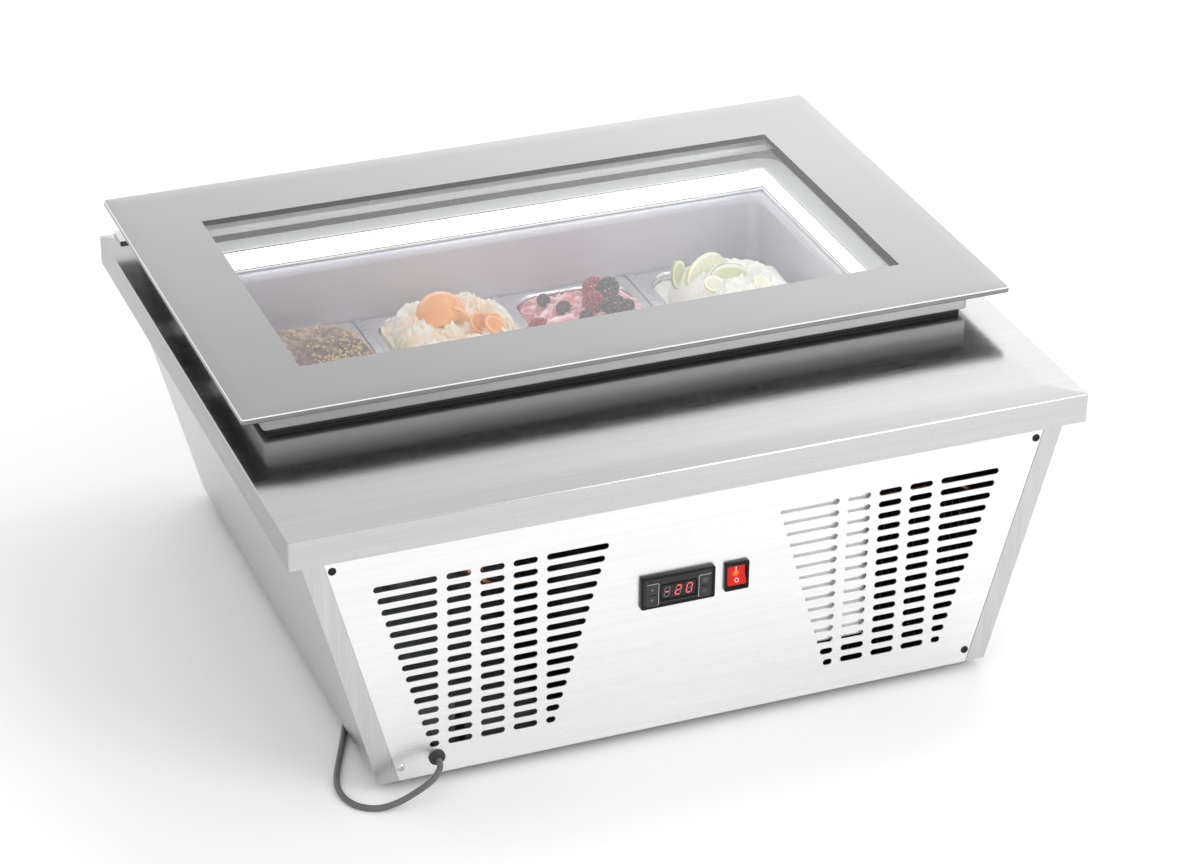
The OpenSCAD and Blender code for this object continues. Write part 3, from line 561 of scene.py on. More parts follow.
def plate(outline, back, front):
    """A flat closed plate with this outline across the front, from one depth to another."""
    outline = np.asarray(outline, float)
    outline = np.vstack([outline, outline[:1]])
    rows = [np.column_stack([outline[:, 0], np.full(len(outline), y), outline[:, 1]]) for y in (back, front)]
    return pole(pole(np.array(rows)), last=False)


def ribbon(path, width, back, front):
    """A printed line of this width along a path across the front, between two depths."""
    path = np.asarray(path, float)
    step = np.gradient(path, axis=0)
    step /= np.linalg.norm(step, axis=1)[:, None]
    side = np.stack([-step[:, 1], step[:, 0]], 1) * width / 2
    rows = [(path + side, back), (path + side, front), (path - side, front), (path - side, back),
            (path + side, back)]
    return np.array([np.column_stack([p[:, 0], np.full(len(p), y), p[:, 1]]) for p, y in rows])


controller_x = -0.0176
rim("controller_rim", (controller_x, control_z), (0.0375, 0.017), 0.002, face_y, 0.0026, gloss_black)
rim("display_rim", (controller_x + 0.0007, control_z - 0.002), (0.0184, 0.0089), 0.001, face_y - 0.0004,
    0.0009, gloss_black)
rim("switch_rim", (0.043, control_z), (0.01225, 0.01525), 0.0015, -0.3165, 0.0022, gloss_black)

print_grey = finish("printed_line", (0.60, 0.61, 0.61), 0.5)
relief(print_grey, grain(print_grey, (2500,) * 3), 0.00002)
dim_grey = finish("printed_icon", (0.13, 0.13, 0.13), 0.5)
relief(dim_grey, grain(dim_grey, (2500,) * 3), 0.00002)
lines = []
for side in (-1, 1):
    near, far = (0.0197, 0.0318) if side < 0 else (0.0212, 0.0336)
    for low, high in ((-0.0145, -0.0030), (-0.0030, 0.0092)):
        way = fillet([(side * far, high), (side * near, high), (side * near, low), (side * far, low)], 0.0013)
        lines.append(ribbon(way + (controller_x, control_z), 0.00042, face_y + 0.0001, face_y - 0.00008))
piece("key_outlines", lines, [print_grey])


def icon(name, key, outlines=(), lines=()):
    """Dim print on one key: filled outlines and lines in millimetres about the key's middle."""
    low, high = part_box(key)
    middle = ((low.x + high.x) / 2, (low.z + high.z) / 2)
    depths = (low.y + 0.0001, low.y - 0.00006)
    grids = [plate(np.array(o) * 0.001 + middle, *depths) for o in outlines]
    grids += [ribbon(np.array(o) * 0.001 + middle, 0.00045, *depths) for o in lines]
    piece(name, grids, [dim_grey], body="key_" + key.split("_")[1])


around = np.linspace(np.radians(125), np.radians(415), 25)
power_mark = np.column_stack([1.7 * np.cos(around), 1.7 * np.sin(around)])
icon("up_arrow", "button_up", [[(-1.9, -1.1), (1.9, -1.1), (0, 2.0)]])
icon("down_arrow", "button_down", [[(-1.9, 1.4), (0, -1.7), (1.9, 1.4)]])
icon("set_bars", "button_set", [[(-3, y), (3, y), (3, y + 0.7), (-3, y + 0.7)] for y in (-2, -0.3, 1.4)])
icon("standby_mark", "button_standby", lines=[power_mark, [(0, 0), (0, 1.2), (0, 2.4)]])

segment_spots = {"a": (0, 2, 1), "b": (1, 1, 0), "c": (1, -1, 0), "d": (0, -2, 1), "e": (-1, -1, 0),
                 "f": (-1, 1, 0), "g": (0, 0, 1)}  # steps across and up, and whether it lies flat


def segments(middle, wanted):
    """Bars of a seven-segment digit about middle: six-sided, leaning to the right."""
    grids = []
    for letter in wanted:
        across, up, flat = segment_spots[letter]
        bar = np.array([(-2.1, 0), (-1.6, 0.5), (1.6, 0.5), (2.1, 0), (1.6, -0.5), (-1.6, -0.5)])
        bar = bar if flat else bar[:, ::-1] * (1, 1.05)
        spot = bar + (across * 2.55, up * 2.45)
        spot[:, 0] += spot[:, 1] * 0.14
        grids.append(plate(spot * 0.001 + middle, -0.31725, -0.31735))
    return grids


digit_x = [controller_x + 0.0007 + u for u in (-0.0118, -0.0004, 0.0108)]
shown = ["g", "abged", "abcdef"]
lit, unlit = [], []
for x, letters in zip(digit_x, shown):
    lit += segments((x, control_z - 0.0018), letters)
    unlit += segments((x, control_z - 0.0018), "".join(sorted(set("abcdefg") - set(letters))))
coral = finish("lit_segment", (0.9, 0.08, 0.1), 0.4,
               Emission_Color=(1.0, 0.085, 0.11, 1), Emission_Strength=1.0)
drive(coral, "Emission Strength", spread(coral, grain(coral, (900,) * 3), 0.85, 1.15))
piece("display_digits", lit, [coral])
piece("display_unlit", unlit, [dim_grey])

rocker_red = finish("lit_red_rocker", (0.42, 0.008, 0.005), 0.16, Specular_IOR_Level=0.3)
spot = node(rocker_red, "VectorMath", 1, settings=[("operation", "DISTANCE")],
            Vector=node(rocker_red, "TexCoord", 3)).node
spot.inputs[1].default_value = (0.0425, -0.3145, 0.1662)
near_lamp = spread(rocker_red, spot.outputs["Value"], 1.0, 0.0, 0.0004, 0.0042)
drive(rocker_red, "Emission Color",
      blend_colours(rocker_red, near_lamp, (1.0, 0.02, 0.005), (1.0, 0.34, 0.03)))
drive(rocker_red, "Emission Strength", spread(rocker_red, near_lamp, 0.26, 1.1, 0.0, 1.0))
dress(rocker_red, "switch_rocker")
mark_white = finish("rocker_mark", (0.92, 0.85, 0.84), 0.4)
relief(mark_white, grain(mark_white, (2500,) * 3), 0.00002)


def on_rocker(outline, lift=0.00008):
    """Puts a flat outline, in millimetres about the pivot, on the rocker's two sloping faces."""
    x, up = (np.asarray(outline, float) * 0.001).T
    tilt = math.radians(10)
    rows = []
    for out in (-0.0001, lift):
        y = -0.0022 - abs(up) * math.tan(tilt) - out
        rows.append(np.column_stack([0.043 + x, -0.312 + y * math.cos(tilt) + up * math.sin(tilt),
                                     control_z - y * math.sin(tilt) + up * math.cos(tilt)]))
    rows = np.array(rows)
    rows = np.concatenate([rows, rows[:, :1]], 1)
    return pole(pole(rows), last=False)


ring = np.linspace(0, 2 * np.pi, 33)
circle = np.column_stack([np.cos(ring), np.sin(ring)])
ring_grids = []
for k in range(32):
    quad = np.array([circle[k] * 2.2, circle[k + 1] * 2.2, circle[k + 1] * 1.55, circle[k] * 1.55])
    ring_grids.append(on_rocker(quad + (0, -5.6)))
bar_mark = on_rocker([(-0.35, 3.6), (0.35, 3.6), (0.35, 8.6), (-0.35, 8.6)])
piece("rocker_marks", ring_grids + [bar_mark], [mark_white], body="rocker")

# ---- Pans ---------------------------------------------------------------------------------------
# Four deep-drawn stainless pans with flat rims stand side by side on the rails. Each rim is turned
# down at its edge, and the corners of the tub are far rounder than those of the rim.

pan_xs = [(k - 1.5) * 0.154 for k in range(4)]
pan_half = (0.072, 0.156)
rim_z = 0.203
rim_line = fillet([(0.0006, rim_z - 0.0028), (0.0, rim_z), (0.0088, rim_z), (0.0092, rim_z - 0.02)],
                  0.0014, 4)
tub_line = fillet([(0.0092, rim_z - 0.02), (0.0124, rim_z - 0.1168), (0.06, rim_z - 0.1168)], 0.012, 6)
pan_line = np.vstack([rim_line, tub_line])


def pan_rows(shift, x):
    """The pan's skin moved inwards and down by shift: square corners at the rim, round below."""
    rows = []
    for inset, z in pan_line:
        share = np.clip((inset - 0.004) / 0.005, 0, 1)
        radius = min(0.007 + 0.022 * share, 0.074 - inset)
        loop = rounded_loop(pan_half[0] - inset - shift, pan_half[1] - inset - shift, radius - shift, 10,
                            (x, well_y))
        rows.append(at_height(loop, z - shift))
    return pole(np.array(rows))


pan_steel = brushed("pan_steel", (0.78, 0.78, 0.79), 0.20, "y", 0.05)
for number, x in enumerate(pan_xs, 1):
    skin = np.concatenate([pan_rows(0.0, x)[::-1], pan_rows(-0.0009, x)])
    piece(f"pan_shell_{number}", [skin], [pan_steel], body=f"pan_{number}_unit",
          sharp=60.0, stands_for=[f"pan_{number}"])

# ---- Ice cream ----------------------------------------------------------------------------------
# Each flavour fills its tub and is spread up into a mound with the spatula: crumbled chocolate,
# ruffled vanilla, marbled berry and whipped lemon. The surface is a height over the tub's outline.

tub_half = (0.0612, 0.1450)


def even_loop(loop, count):
    """The same closed outline with its points spaced evenly along it."""
    along = np.concatenate([[0], np.cumsum(np.linalg.norm(np.diff(loop, axis=0), axis=1))])
    wanted = np.linspace(0, along[-1], count)
    return np.stack([np.interp(wanted, along, loop[:, k]) for k in range(2)], 1)


def lumps(x, y, size, seed):
    """Smooth noise from -1 to 1: random values on a square lattice, eased between its corners."""
    lattice = np.random.default_rng(seed).uniform(-1, 1, (64, 64))
    left, low = np.floor(x / size).astype(int), np.floor(y / size).astype(int)
    across, up = x / size - left, y / size - low
    across, up = across**2 * (3 - 2 * across), up**2 * (3 - 2 * up)
    near = lattice[left % 64, low % 64] * (1 - across) + lattice[(left + 1) % 64, low % 64] * across
    far = (lattice[left % 64, (low + 1) % 64] * (1 - across)
           + lattice[(left + 1) % 64, (low + 1) % 64] * across)
    return near * (1 - up) + far * up


def layered(x, y, size, seed, layers=4):
    """Lumps of one size with finer and flatter lumps on top of them."""
    return sum(0.5**k * lumps(x, y, size / 2**k, seed + k) for k in range(layers))


def ridges(x, y, size, seed, layers=3):
    """Sharp crests where layered lumps change sign, from 0 in the hollows to 1 on a crest."""
    return np.clip(1 - 2.2 * abs(layered(x, y, size, seed, layers)), 0, 1) ** 1.5


def crumbled(x, y):
    """Spooned chocolate: broad lumps under a coarse grit."""
    grit = layered(x, y, 0.0045, 31, 3)
    return 0.004 * layered(x, y, 0.04, 11, 3) + 0.0018 * grit, np.clip(0.55 + 0.5 * grit, 0, 1)


def ruffled(x, y):
    """Spatula ruffles: crests of two sizes that run along warped lines."""
    u = x + 0.007 * lumps(x, y, 0.018, 5) + 0.25 * y
    v = y * 0.6 + 0.008 * lumps(x, y, 0.020, 6)
    broad, fine = ridges(u, v, 0.013, 7, 1), ridges(u, v, 0.0062, 9, 2)
    height = 0.0060 * broad + 0.0042 * fine + 0.005 * layered(x, y, 0.03, 13, 2)
    return height, 0.6 * broad + 0.5 * fine + 0.15


def marbled(x, y):
    """Berry swirl: torn flakes with darker sauce in the hollows between them."""
    u, v = x + 0.008 * lumps(x, y, 0.02, 41), y + 0.008 * lumps(x, y, 0.02, 43)
    flakes = ridges(u, v, 0.012, 45, 2)
    return 0.0045 * flakes + 0.002 * layered(x, y, 0.007, 47, 3), flakes * 0.85 + 0.15


def whipped(x, y):
    """Whipped lemon: soft folds laid round the middle of the mound."""
    u = x + 0.010 * lumps(x, y, 0.025, 61)
    folds, fluff = ridges(u, y * 0.7, 0.017, 63, 2), ridges(u, y, 0.0058, 65, 2)
    height = 0.0040 * folds + 0.0036 * fluff + 0.005 * layered(x, y, 0.035, 67, 3)
    return height, 0.5 + 0.3 * folds + 0.3 * fluff


def ice_cream(number, edge, top_z, fullness, pattern, material):
    """Fills one pan: round the tub's outline and outwards from its middle.

    The height is the fill level at the walls, a flattened dome up to the given top, and the
    flavour's own pattern. The pattern's second value is kept for the colour.
    """
    x0 = pan_xs[number - 1]
    loop = even_loop(rounded_loop(*tub_half, 0.028, 24), 361)
    out = np.linspace(0, 1, 112)[:, None]
    x, y = out * loop[None, :, 0], out * loop[None, :, 1]
    reach = ((x / 0.0612) ** 4 + ((y + 0.008) / 0.137) ** 4) ** 0.25
    dome = np.clip(1 - reach**fullness, 0, 1) ** 0.5
    detail, tone = pattern(x + x0 * 3, y)
    z = edge + (top_z - edge - 0.004) * dome + detail * (0.3 + 0.7 * dome)
    over = 1 + 0.055 * np.clip((z - rim_z - 0.002) / 0.008, 0, 1) * reach**4 * (fullness > 4)
    top = np.stack([x0 + x * over, well_y + y * (1 + (over - 1) * 0.4), z], -1)
    wall = [at_height(np.column_stack([x0 + s * loop[:, 0], well_y + s * loop[:, 1]]), h)
            for s, h in ((0.985, 0.15), (0.95, 0.088))]
    body = pole(np.array(wall))
    tones = [np.vstack([tone, 0 * body[..., 0]])]
    piece(f"ice_cream_top_{number}", [np.concatenate([top, body])], [material],
          body=f"pan_{number}_unit", sharp=80.0, stands_for=[f"ice_cream_{number}"],
          values={"tone": tones})


def frozen(name, hollow, middle, crest, roughness=0.5):
    """Ice cream: the colour follows the crests, with light scattered under the skin. The hollow colour is
    painted shade in the hollows, and for the berry it is also its sauce.
    """
    cream = finish(name, middle, roughness, Subsurface_Weight=0.08, Subsurface_Scale=0.0015)
    tone = node(cream, "Attribute", 2, settings=[("attribute_name", "tone")])
    hollow_shade_and_sauce = blend_colours(cream, spread(cream, tone, 0, 1, 0.0, 0.45), hollow, middle)
    drive(cream, "Base Color", blend_colours(cream, spread(cream, tone, 0, 1, 0.45, 0.95), hollow_shade_and_sauce, crest))
    fine = grain(cream, (700,) * 3, 4.0, 0.6)
    drive(cream, "Roughness", spread(cream, fine, roughness - 0.12, roughness + 0.15))
    relief(cream, fine, 0.0006, 0.7)
    return cream


# The first colour of each flavour is painted shade in its hollows: near black in the chocolate's grit, tan
# under the vanilla's ruffles, pale tan under the lemon's folds; the berry's is also its red sauce.
chocolate = frozen("chocolate_ice", (0.11, 0.055, 0.036), (0.30, 0.185, 0.13), (0.50, 0.36, 0.28), 0.7)
patches = grain(chocolate, (14, 14, 14), 3.0)
tinted = chocolate.node_tree.nodes["Principled BSDF"].inputs["Base Color"].links[0].from_socket
drive(chocolate, "Base Color", blend_colours(chocolate, spread(chocolate, patches, 0.0, 0.75, 0.42, 0.58),
                                             tinted, (0.10, 0.05, 0.035)))
vanilla = frozen("vanilla_ice", (0.84, 0.52, 0.30), (0.97, 0.84, 0.68), (1.0, 0.96, 0.89))
berry = frozen("berry_ice", (0.62, 0.08, 0.12), (0.90, 0.46, 0.50), (0.99, 0.86, 0.86), 0.42)
lemon = frozen("lemon_ice", (0.86, 0.79, 0.62), (0.98, 0.94, 0.86), (1.0, 0.99, 0.965))
ice_cream(1, 0.202, 0.239, 6.0, crumbled, chocolate)
ice_cream(2, 0.204, 0.241, 8.0, ruffled, vanilla)
ice_cream(3, 0.200, 0.221, 7.0, marbled, berry)
ice_cream(4, 0.194, 0.246, 4.0, whipped, lemon)


def top_of(number, x, y):
    """Height of a finished ice cream's surface under the point x, y."""
    surface = bpy.data.objects[f"ice_cream_top_{number}"].data
    spots = np.zeros(len(surface.vertices) * 3)
    surface.vertices.foreach_get("co", spots)
    spots = spots.reshape(-1, 3)
    near = (spots[:, 0] - x) ** 2 + (spots[:, 1] - y) ** 2 + (spots[:, 2] < rim_z - 0.02) * 1.0
    return float(spots[near.argmin(), 2])


# ---- Fruit and nuts -----------------------------------------------------------------------------
# Each mound is dressed with its flavour's own garnish: chopped nuts, a peach half and orange
# slices, raspberries and dark berries, and wedges and slices of lemon and lime.


def turned_grid(grid, angles, place):
    """A grid turned about X, then Y, then Z by angles in degrees, and moved to its place."""
    turn = np.eye(3)
    for axis, angle in enumerate(angles):
        c, s = math.cos(math.radians(angle)), math.sin(math.radians(angle))
        step = np.eye(3)
        i, j = (axis + 1) % 3, (axis + 2) % 3
        step[i, i], step[i, j], step[j, i], step[j, j] = c, -s, s, c
        turn = step @ turn
    return grid @ turn.T + np.asarray(place)


def wedge(length, radius, spread_angle, hollow=0.0):
    """A fruit segment along X: at each place the section is a sector of a circle about the core.

    Returns the grid and its skin values, 0 at the core and 1 at the peel. The circle's radius
    follows a half ellipse along the fruit, and hollow sinks the two cut faces.
    """
    along = np.linspace(0, np.pi, 33)[:, None]
    place, size = -np.cos(along) * length / 2, np.sin(along) ** 0.8 * radius
    arc = np.radians(np.linspace(-spread_angle / 2, spread_angle / 2, 17))
    face = np.linspace(0, 1, 11)
    share = np.concatenate([face, np.ones(15), face[::-1]])
    angle = np.concatenate([np.full(11, arc[0]), arc[1:-1], np.full(11, arc[-1])])
    dip = hollow * np.sin(np.pi * share) * np.sign(angle)
    across = size * share * np.sin(angle) - dip * (size / radius)
    up = size * share * np.cos(angle)
    return np.stack([place + 0 * across, across, up], -1), share + 0 * across


def round_slice(radius, thickness):
    """A round citrus slice: rings from the middle over the rim to the back; skin is the ring."""
    ring = np.concatenate([np.linspace(0, 1, 14), np.linspace(1, 0, 14)])
    side = np.concatenate([np.full(14, 0.5), np.full(14, -0.5)])
    turn = np.linspace(0, 2 * np.pi, 61)
    x, y = radius * np.outer(ring, np.cos(turn)), radius * np.outer(ring, np.sin(turn))
    return np.stack([x, y, (thickness * side)[:, None] + 0 * x], -1), ring[:, None] + 0 * x


def fruit(name, peel, pith, flesh, roughness=0.3, pith_at=0.86):
    """Fruit flesh that turns to pith near the skin and to peel at it, wet and half clear."""
    skin = finish(name, flesh, roughness, Subsurface_Weight=0.35, Subsurface_Scale=0.005,
                  Coat_Weight=0.3, Coat_Roughness=0.2)
    value = node(skin, "Attribute", 2, settings=[("attribute_name", "skin")])
    pulp = grain(skin, (450,) * 3, 3.0)
    deeper = [c * 0.72 for c in flesh]
    meat = blend_colours(skin, spread(skin, pulp, 0, 1), deeper, flesh)
    ring = blend_colours(skin, spread(skin, value, 0, 1, pith_at - 0.05, pith_at), meat, pith)
    drive(skin, "Base Color", blend_colours(skin, spread(skin, value, 0, 1, 0.95, 0.985), ring, peel))
    relief(skin, pulp, 0.0004, 0.6)
    return skin


def garnish(name, number, grids, material, values=None):
    """One piece of garnish that rides with its pan."""
    return piece(name, grids, [material], body=f"pan_{number}_unit", sharp=50.0, values=values)


peach = fruit("peach_flesh", (0.93, 0.36, 0.08), (0.96, 0.50, 0.16), (0.95, 0.48, 0.15), 0.28, 0.7)
grid, skin = wedge(0.052, 0.027, 105, 0.003)
base = top_of(2, -0.092, 0.150)
garnish("peach_half", 2, [turned_grid(grid, (24, -8, 12), (-0.090, 0.152, base - 0.004))], peach,
        {"skin": [skin]})
grid, skin = wedge(0.034, 0.017, 90, 0.002)
garnish("peach_slice", 2, [turned_grid(grid, (-40, 14, -35), (-0.083, 0.134, top_of(2, -0.083, 0.134)))],
        peach, {"skin": [skin]})
orange = fruit("orange_slice", (0.95, 0.28, 0.02), (0.96, 0.55, 0.25), (0.96, 0.33, 0.05), 0.25)
for k, (x, y, lean) in enumerate([(-0.060, 0.112, 38), (-0.047, 0.106, 52), (-0.051, 0.092, 30)]):
    grid, skin = round_slice(0.0125, 0.003)
    garnish(f"orange_slice_{k + 1}", 2,
            [turned_grid(grid, (lean, 20 - 15 * k, 30 * k), (x, y, top_of(2, x, y) + 0.005))],
            orange, {"skin": [skin]})

citrus_ring = fruit("lemon_flesh", (0.86, 0.78, 0.30), (0.97, 0.95, 0.86), (0.90, 0.86, 0.58), 0.25, 0.84)
lime_ring = fruit("lime_flesh", (0.34, 0.44, 0.16), (0.92, 0.94, 0.82), (0.74, 0.78, 0.46), 0.25, 0.82)
for name, size, angles, (x, y), flesh in [
        ("lemon_wedge", (0.056, 0.022, 46), (-56, -20, 28), (0.211, 0.152), citrus_ring),
        ("lime_wedge", (0.042, 0.020, 50), (-46, 0, -8), (0.224, 0.126), lime_ring)]:
    grid, skin = wedge(*size, 0.0010)
    base = min(top_of(4, x, y), 0.2455)
    garnish(name, 4, [turned_grid(grid, angles, (x, y, base - 0.002))], flesh, {"skin": [skin]})
lime_slices = [  # place across and along, angles, radius, lift above the cream, material
    (0.182, 0.166, (78, 10, 40), 0.0155, 0.006, lime_ring),
    (0.247, 0.096, (28, 20, 0), 0.010, 0.004, citrus_ring),
    (0.196, 0.104, (22, -18, 30), 0.010, 0.004, citrus_ring),
    (0.225, 0.040, (70, 0, 15), 0.010, 0.0, lime_ring)]
for k, (x, y, angles, radius, lift, flesh) in enumerate(lime_slices, 1):
    grid, skin = round_slice(radius, 0.003)
    garnish(f"lime_slice_{k}", 4, [turned_grid(grid, angles, (x, y, top_of(4, x, y) + lift))], flesh,
            {"skin": [skin]})


def drupes(radius, tall, count, bead):
    """A berry: beads set on an egg shape, spaced round it by the golden angle.

    Each bead is a small sphere of rows by columns, and its centre follows the spiral.
    """
    k = np.arange(count)
    level = 1 - 2 * (k + 0.5) / count
    ring = np.sqrt(1 - level**2)
    turn = k * np.pi * (3 - math.sqrt(5))
    centre = np.stack([radius * ring * np.cos(turn), radius * ring * np.sin(turn), tall * level], 1)
    polar, round_ = np.linspace(0, np.pi, 6)[:, None], np.linspace(0, 2 * np.pi, 9)[None, :]
    ball = bead * np.stack([np.sin(polar) * np.cos(round_), np.sin(polar) * np.sin(round_),
                            np.cos(polar) + 0 * round_], -1)
    return [ball + c for c in centre]


def berry_skin(name, colour, deep):
    """Berry skin: dark between the beads, with a wet gloss and a little bloom."""
    skin = finish(name, colour, 0.3, Subsurface_Weight=0.2, Subsurface_Scale=0.003, Coat_Weight=0.25)
    bloom = grain(skin, (160,) * 3, 3.0)
    drive(skin, "Base Color", blend_colours(skin, spread(skin, bloom, 0, 1), deep, colour))
    drive(skin, "Roughness", spread(skin, bloom, 0.22, 0.5))
    return skin


raspberry = berry_skin("raspberry_skin", (0.50, 0.035, 0.05), (0.28, 0.012, 0.02))
dark_berry = berry_skin("dark_berry_skin", (0.045, 0.02, 0.045), (0.012, 0.006, 0.016))
red_spots = [(0.017, 0.148), (0.092, 0.184), (0.079, 0.150), (0.040, 0.060), (0.100, 0.020), (0.062, -0.02)]
black_spots = [(0.104, 0.172), (0.095, 0.132), (0.046, 0.152), (0.064, 0.130), (0.034, 0.178),
               (0.110, 0.092), (0.076, 0.000), (0.030, 0.010), (0.112, 0.135)]
for k, (x, y) in enumerate(red_spots):
    grids = [turned_grid(g, (20 * k, 35 - 15 * k, 50 * k), (x, y, top_of(3, x, y) + 0.005))
             for g in drupes(0.0098, 0.0108, 64, 0.0024)]
    garnish(f"raspberry_{k + 1}", 3, grids, raspberry)
for k, (x, y) in enumerate(black_spots):
    size = 1.0 if k in (0, 1, 5, 6) else 0.62
    grids = [turned_grid(g, (30 * k, 25, 40 * k), (x, y, top_of(3, x, y) + 0.006 * size))
             for g in drupes(0.0098 * size, 0.0116 * size, 52, 0.0026 * size)]
    garnish(f"dark_berry_{k + 1}", 3, grids, dark_berry)

nut = finish("toasted_nut", (0.72, 0.48, 0.22), 0.55)
shade_of = grain(nut, (230,) * 3, 2.0)
drive(nut, "Base Color", blend_colours(nut, spread(nut, shade_of, 0, 1),
                                       (0.50, 0.29, 0.11), (0.80, 0.58, 0.31)))
draw = np.random.default_rng(17)
surface = bpy.data.objects["ice_cream_top_1"].data
spots = np.zeros(len(surface.vertices) * 3)
surface.vertices.foreach_get("co", spots)
spots = spots.reshape(-1, 3)
spots = spots[(spots[:, 2] > rim_z + 0.004) & ((spots[:, 0] > -0.238) | (spots[:, 1] > 0.165))]
nut_count = 900
spots = spots[draw.permutation(len(spots))[:nut_count]]
corner = np.linspace(0, np.pi, 4)[:, None]
round_ = np.linspace(0, 2 * np.pi, 6)[None, :]
chip = np.stack([np.sin(corner) * np.cos(round_), np.sin(corner) * np.sin(round_),
                 np.cos(corner) + 0 * round_], -1)
chip_sizes = draw.uniform(0.0008, 0.0019, (nut_count, 3))
chip_angles = draw.uniform(0, 360, (nut_count, 3))
nuts = [turned_grid(chip * size, angles, spot + (0, 0, 0.0006))
        for spot, size, angles in zip(spots, chip_sizes, chip_angles)]
piece("chopped_nuts", nuts, [nut], body="pan_1_unit", sharp=20.0)

# ---- Lid ---------------------------------------------------------------------------------------------
# A 6 mm glass pane, silvered round its border and dark underneath, lies on a folded aluminium
# frame 28 mm tall. The frame's inner wall steps in below the middle, and a gasket seals under it.

frame_low, frame_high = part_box("lid_frame")
frame_middle = (0, (frame_low.y + frame_high.y) / 2)
frame_half = (frame_high.x, (frame_high.y - frame_low.y) / 2)
low_z, high_z = frame_low.z, frame_high.z
frame_line = fillet([(0, high_z), (0, low_z), (0.027, low_z), (0.027, low_z + 0.0085),
                     (0.0235, low_z + 0.0135), (0.0235, high_z), (0.0215, high_z),
                     (0.0215, low_z + 0.0025), (0.0015, low_z + 0.0025), (0.0015, high_z),
                     (0, high_z)], 0.0016, 4)
# Painted light and shade on one aluminium profile: faces that look inwards or up are painted far lighter than
# the outer face and the foot.
frame_outside_painted_shade = brushed("frame_aluminium", (0.56, 0.56, 0.565), 0.38, "x", 0.05)
frame_outside_painted_shade.node_tree.nodes["Principled BSDF"].inputs["Metallic"].default_value = 0.4
frame_inside_painted_light = brushed("frame_inside_painted_light", (0.84, 0.84, 0.84), 0.40, "x", 0.05)
frame_inside_painted_light.node_tree.nodes["Principled BSDF"].inputs["Metallic"].default_value = 0.3


def frame_material(centres, normals):
    """1 for faces that look towards the lid's middle or up, 0 for the outer face and the foot."""
    inwards = normals[:, 0] * centres[:, 0] + normals[:, 1] * (centres[:, 1] - frame_middle[1]) < -0.01
    return np.where(inwards | (normals[:, 2] > 0.5), 1, 0)


piece("lid_frame_profile", [swept(frame_line, frame_half, 0.004, frame_middle)],
      [frame_outside_painted_shade, frame_inside_painted_light], which=frame_material, body="lid", sharp=50.0,
      stands_for=["lid_frame"])
dress(rubber, "lid_gasket")
dress(brushed("bracket_steel", (0.72, 0.72, 0.72), 0.26, "x"), "lid_clips", "hinge_bases",
      "hinge_arms", "hinge_pins")

glass_low, glass_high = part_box("lid_glass")
clear_half = (0.313, 0.167)


def glass_row(inset, z):
    """The pane's outline, this far inside its edge, at height z."""
    half = (glass_high.x - inset, (glass_high.y - glass_low.y) / 2 - inset)
    middle = (0, (glass_high.y + glass_low.y) / 2)
    return at_height(rounded_loop(*half, 0.003, centre=middle), z)


def clear_row(z):
    """The edge of the unprinted window."""
    return at_height(rounded_loop(*clear_half, 0.0008, centre=(0, well_y)), z)


edge = fillet([(0.02, glass_low.z), (0, glass_low.z), (0, glass_high.z), (0.02, glass_high.z)], 0.0014)
pane_rows = [glass_row(inset, z) for inset, z in edge]
pane_grid = np.array([clear_row(glass_low.z), *pane_rows, clear_row(glass_high.z)])
pane_grid = pole(pole(pane_grid), last=False)


def pane_material(centres, normals):
    """0 is silver print, 1 clear, 2 the bevel with its painted highlight, 3 the dark underside and 4 the
    edge.
    """
    inside = (abs(centres[:, 0]) < clear_half[0]) & (abs(centres[:, 1] - well_y) < clear_half[1])
    border = np.select([normals[:, 2] > 0.97, normals[:, 2] < -0.3, normals[:, 2] > 0.3], [0, 3, 2], 4)
    return np.where(inside, 1, border)


border_print = finish("border_print", (0.33, 0.33, 0.33), 0.36, 0.35, Coat_Weight=0.5, Coat_Roughness=0.10)
speck = spread(border_print, grain(border_print, (1800,) * 3, 2.0), 0, 1)
# Painted reflection: the silver print is painted lighter towards the back and the right and darker at the
# front left.
painted_light_slope = node(border_print, "VectorMath", 1, settings=[("operation", "DOT_PRODUCT")],
            Vector=node(border_print, "TexCoord", 3)).node
painted_light_slope.inputs[1].default_value = (0.55, 1.0, 0)
deep = blend_colours(border_print, speck, (0.265, 0.265, 0.265), (0.28, 0.28, 0.28))
painted_light_grey = blend_colours(border_print, speck, (0.44, 0.44, 0.44), (0.46, 0.46, 0.46))
painted_light_share = spread(border_print, painted_light_slope.outputs["Value"], 0.0, 1.0, -0.30, 0.42)
drive(border_print, "Base Color", blend_colours(border_print, painted_light_share, deep, painted_light_grey))
backing = moulded("border_backing", (0.03, 0.03, 0.031), 0.25, 700.0, 0.00001)
# Painted highlight: the up-facing bevel of the glass is painted near white, far lighter than its grey upright
# edge.
bevel_painted_highlight = finish("glass_bevel_painted_highlight", (0.88, 0.90, 0.89), 0.15)
drive(bevel_painted_highlight, "Roughness", spread(bevel_painted_highlight, grain(bevel_painted_highlight, (60,) * 3), 0.1, 0.25))
grey_edge = moulded("grey_glass_edge", (0.20, 0.205, 0.205), 0.2, 300.0, 0.00001)

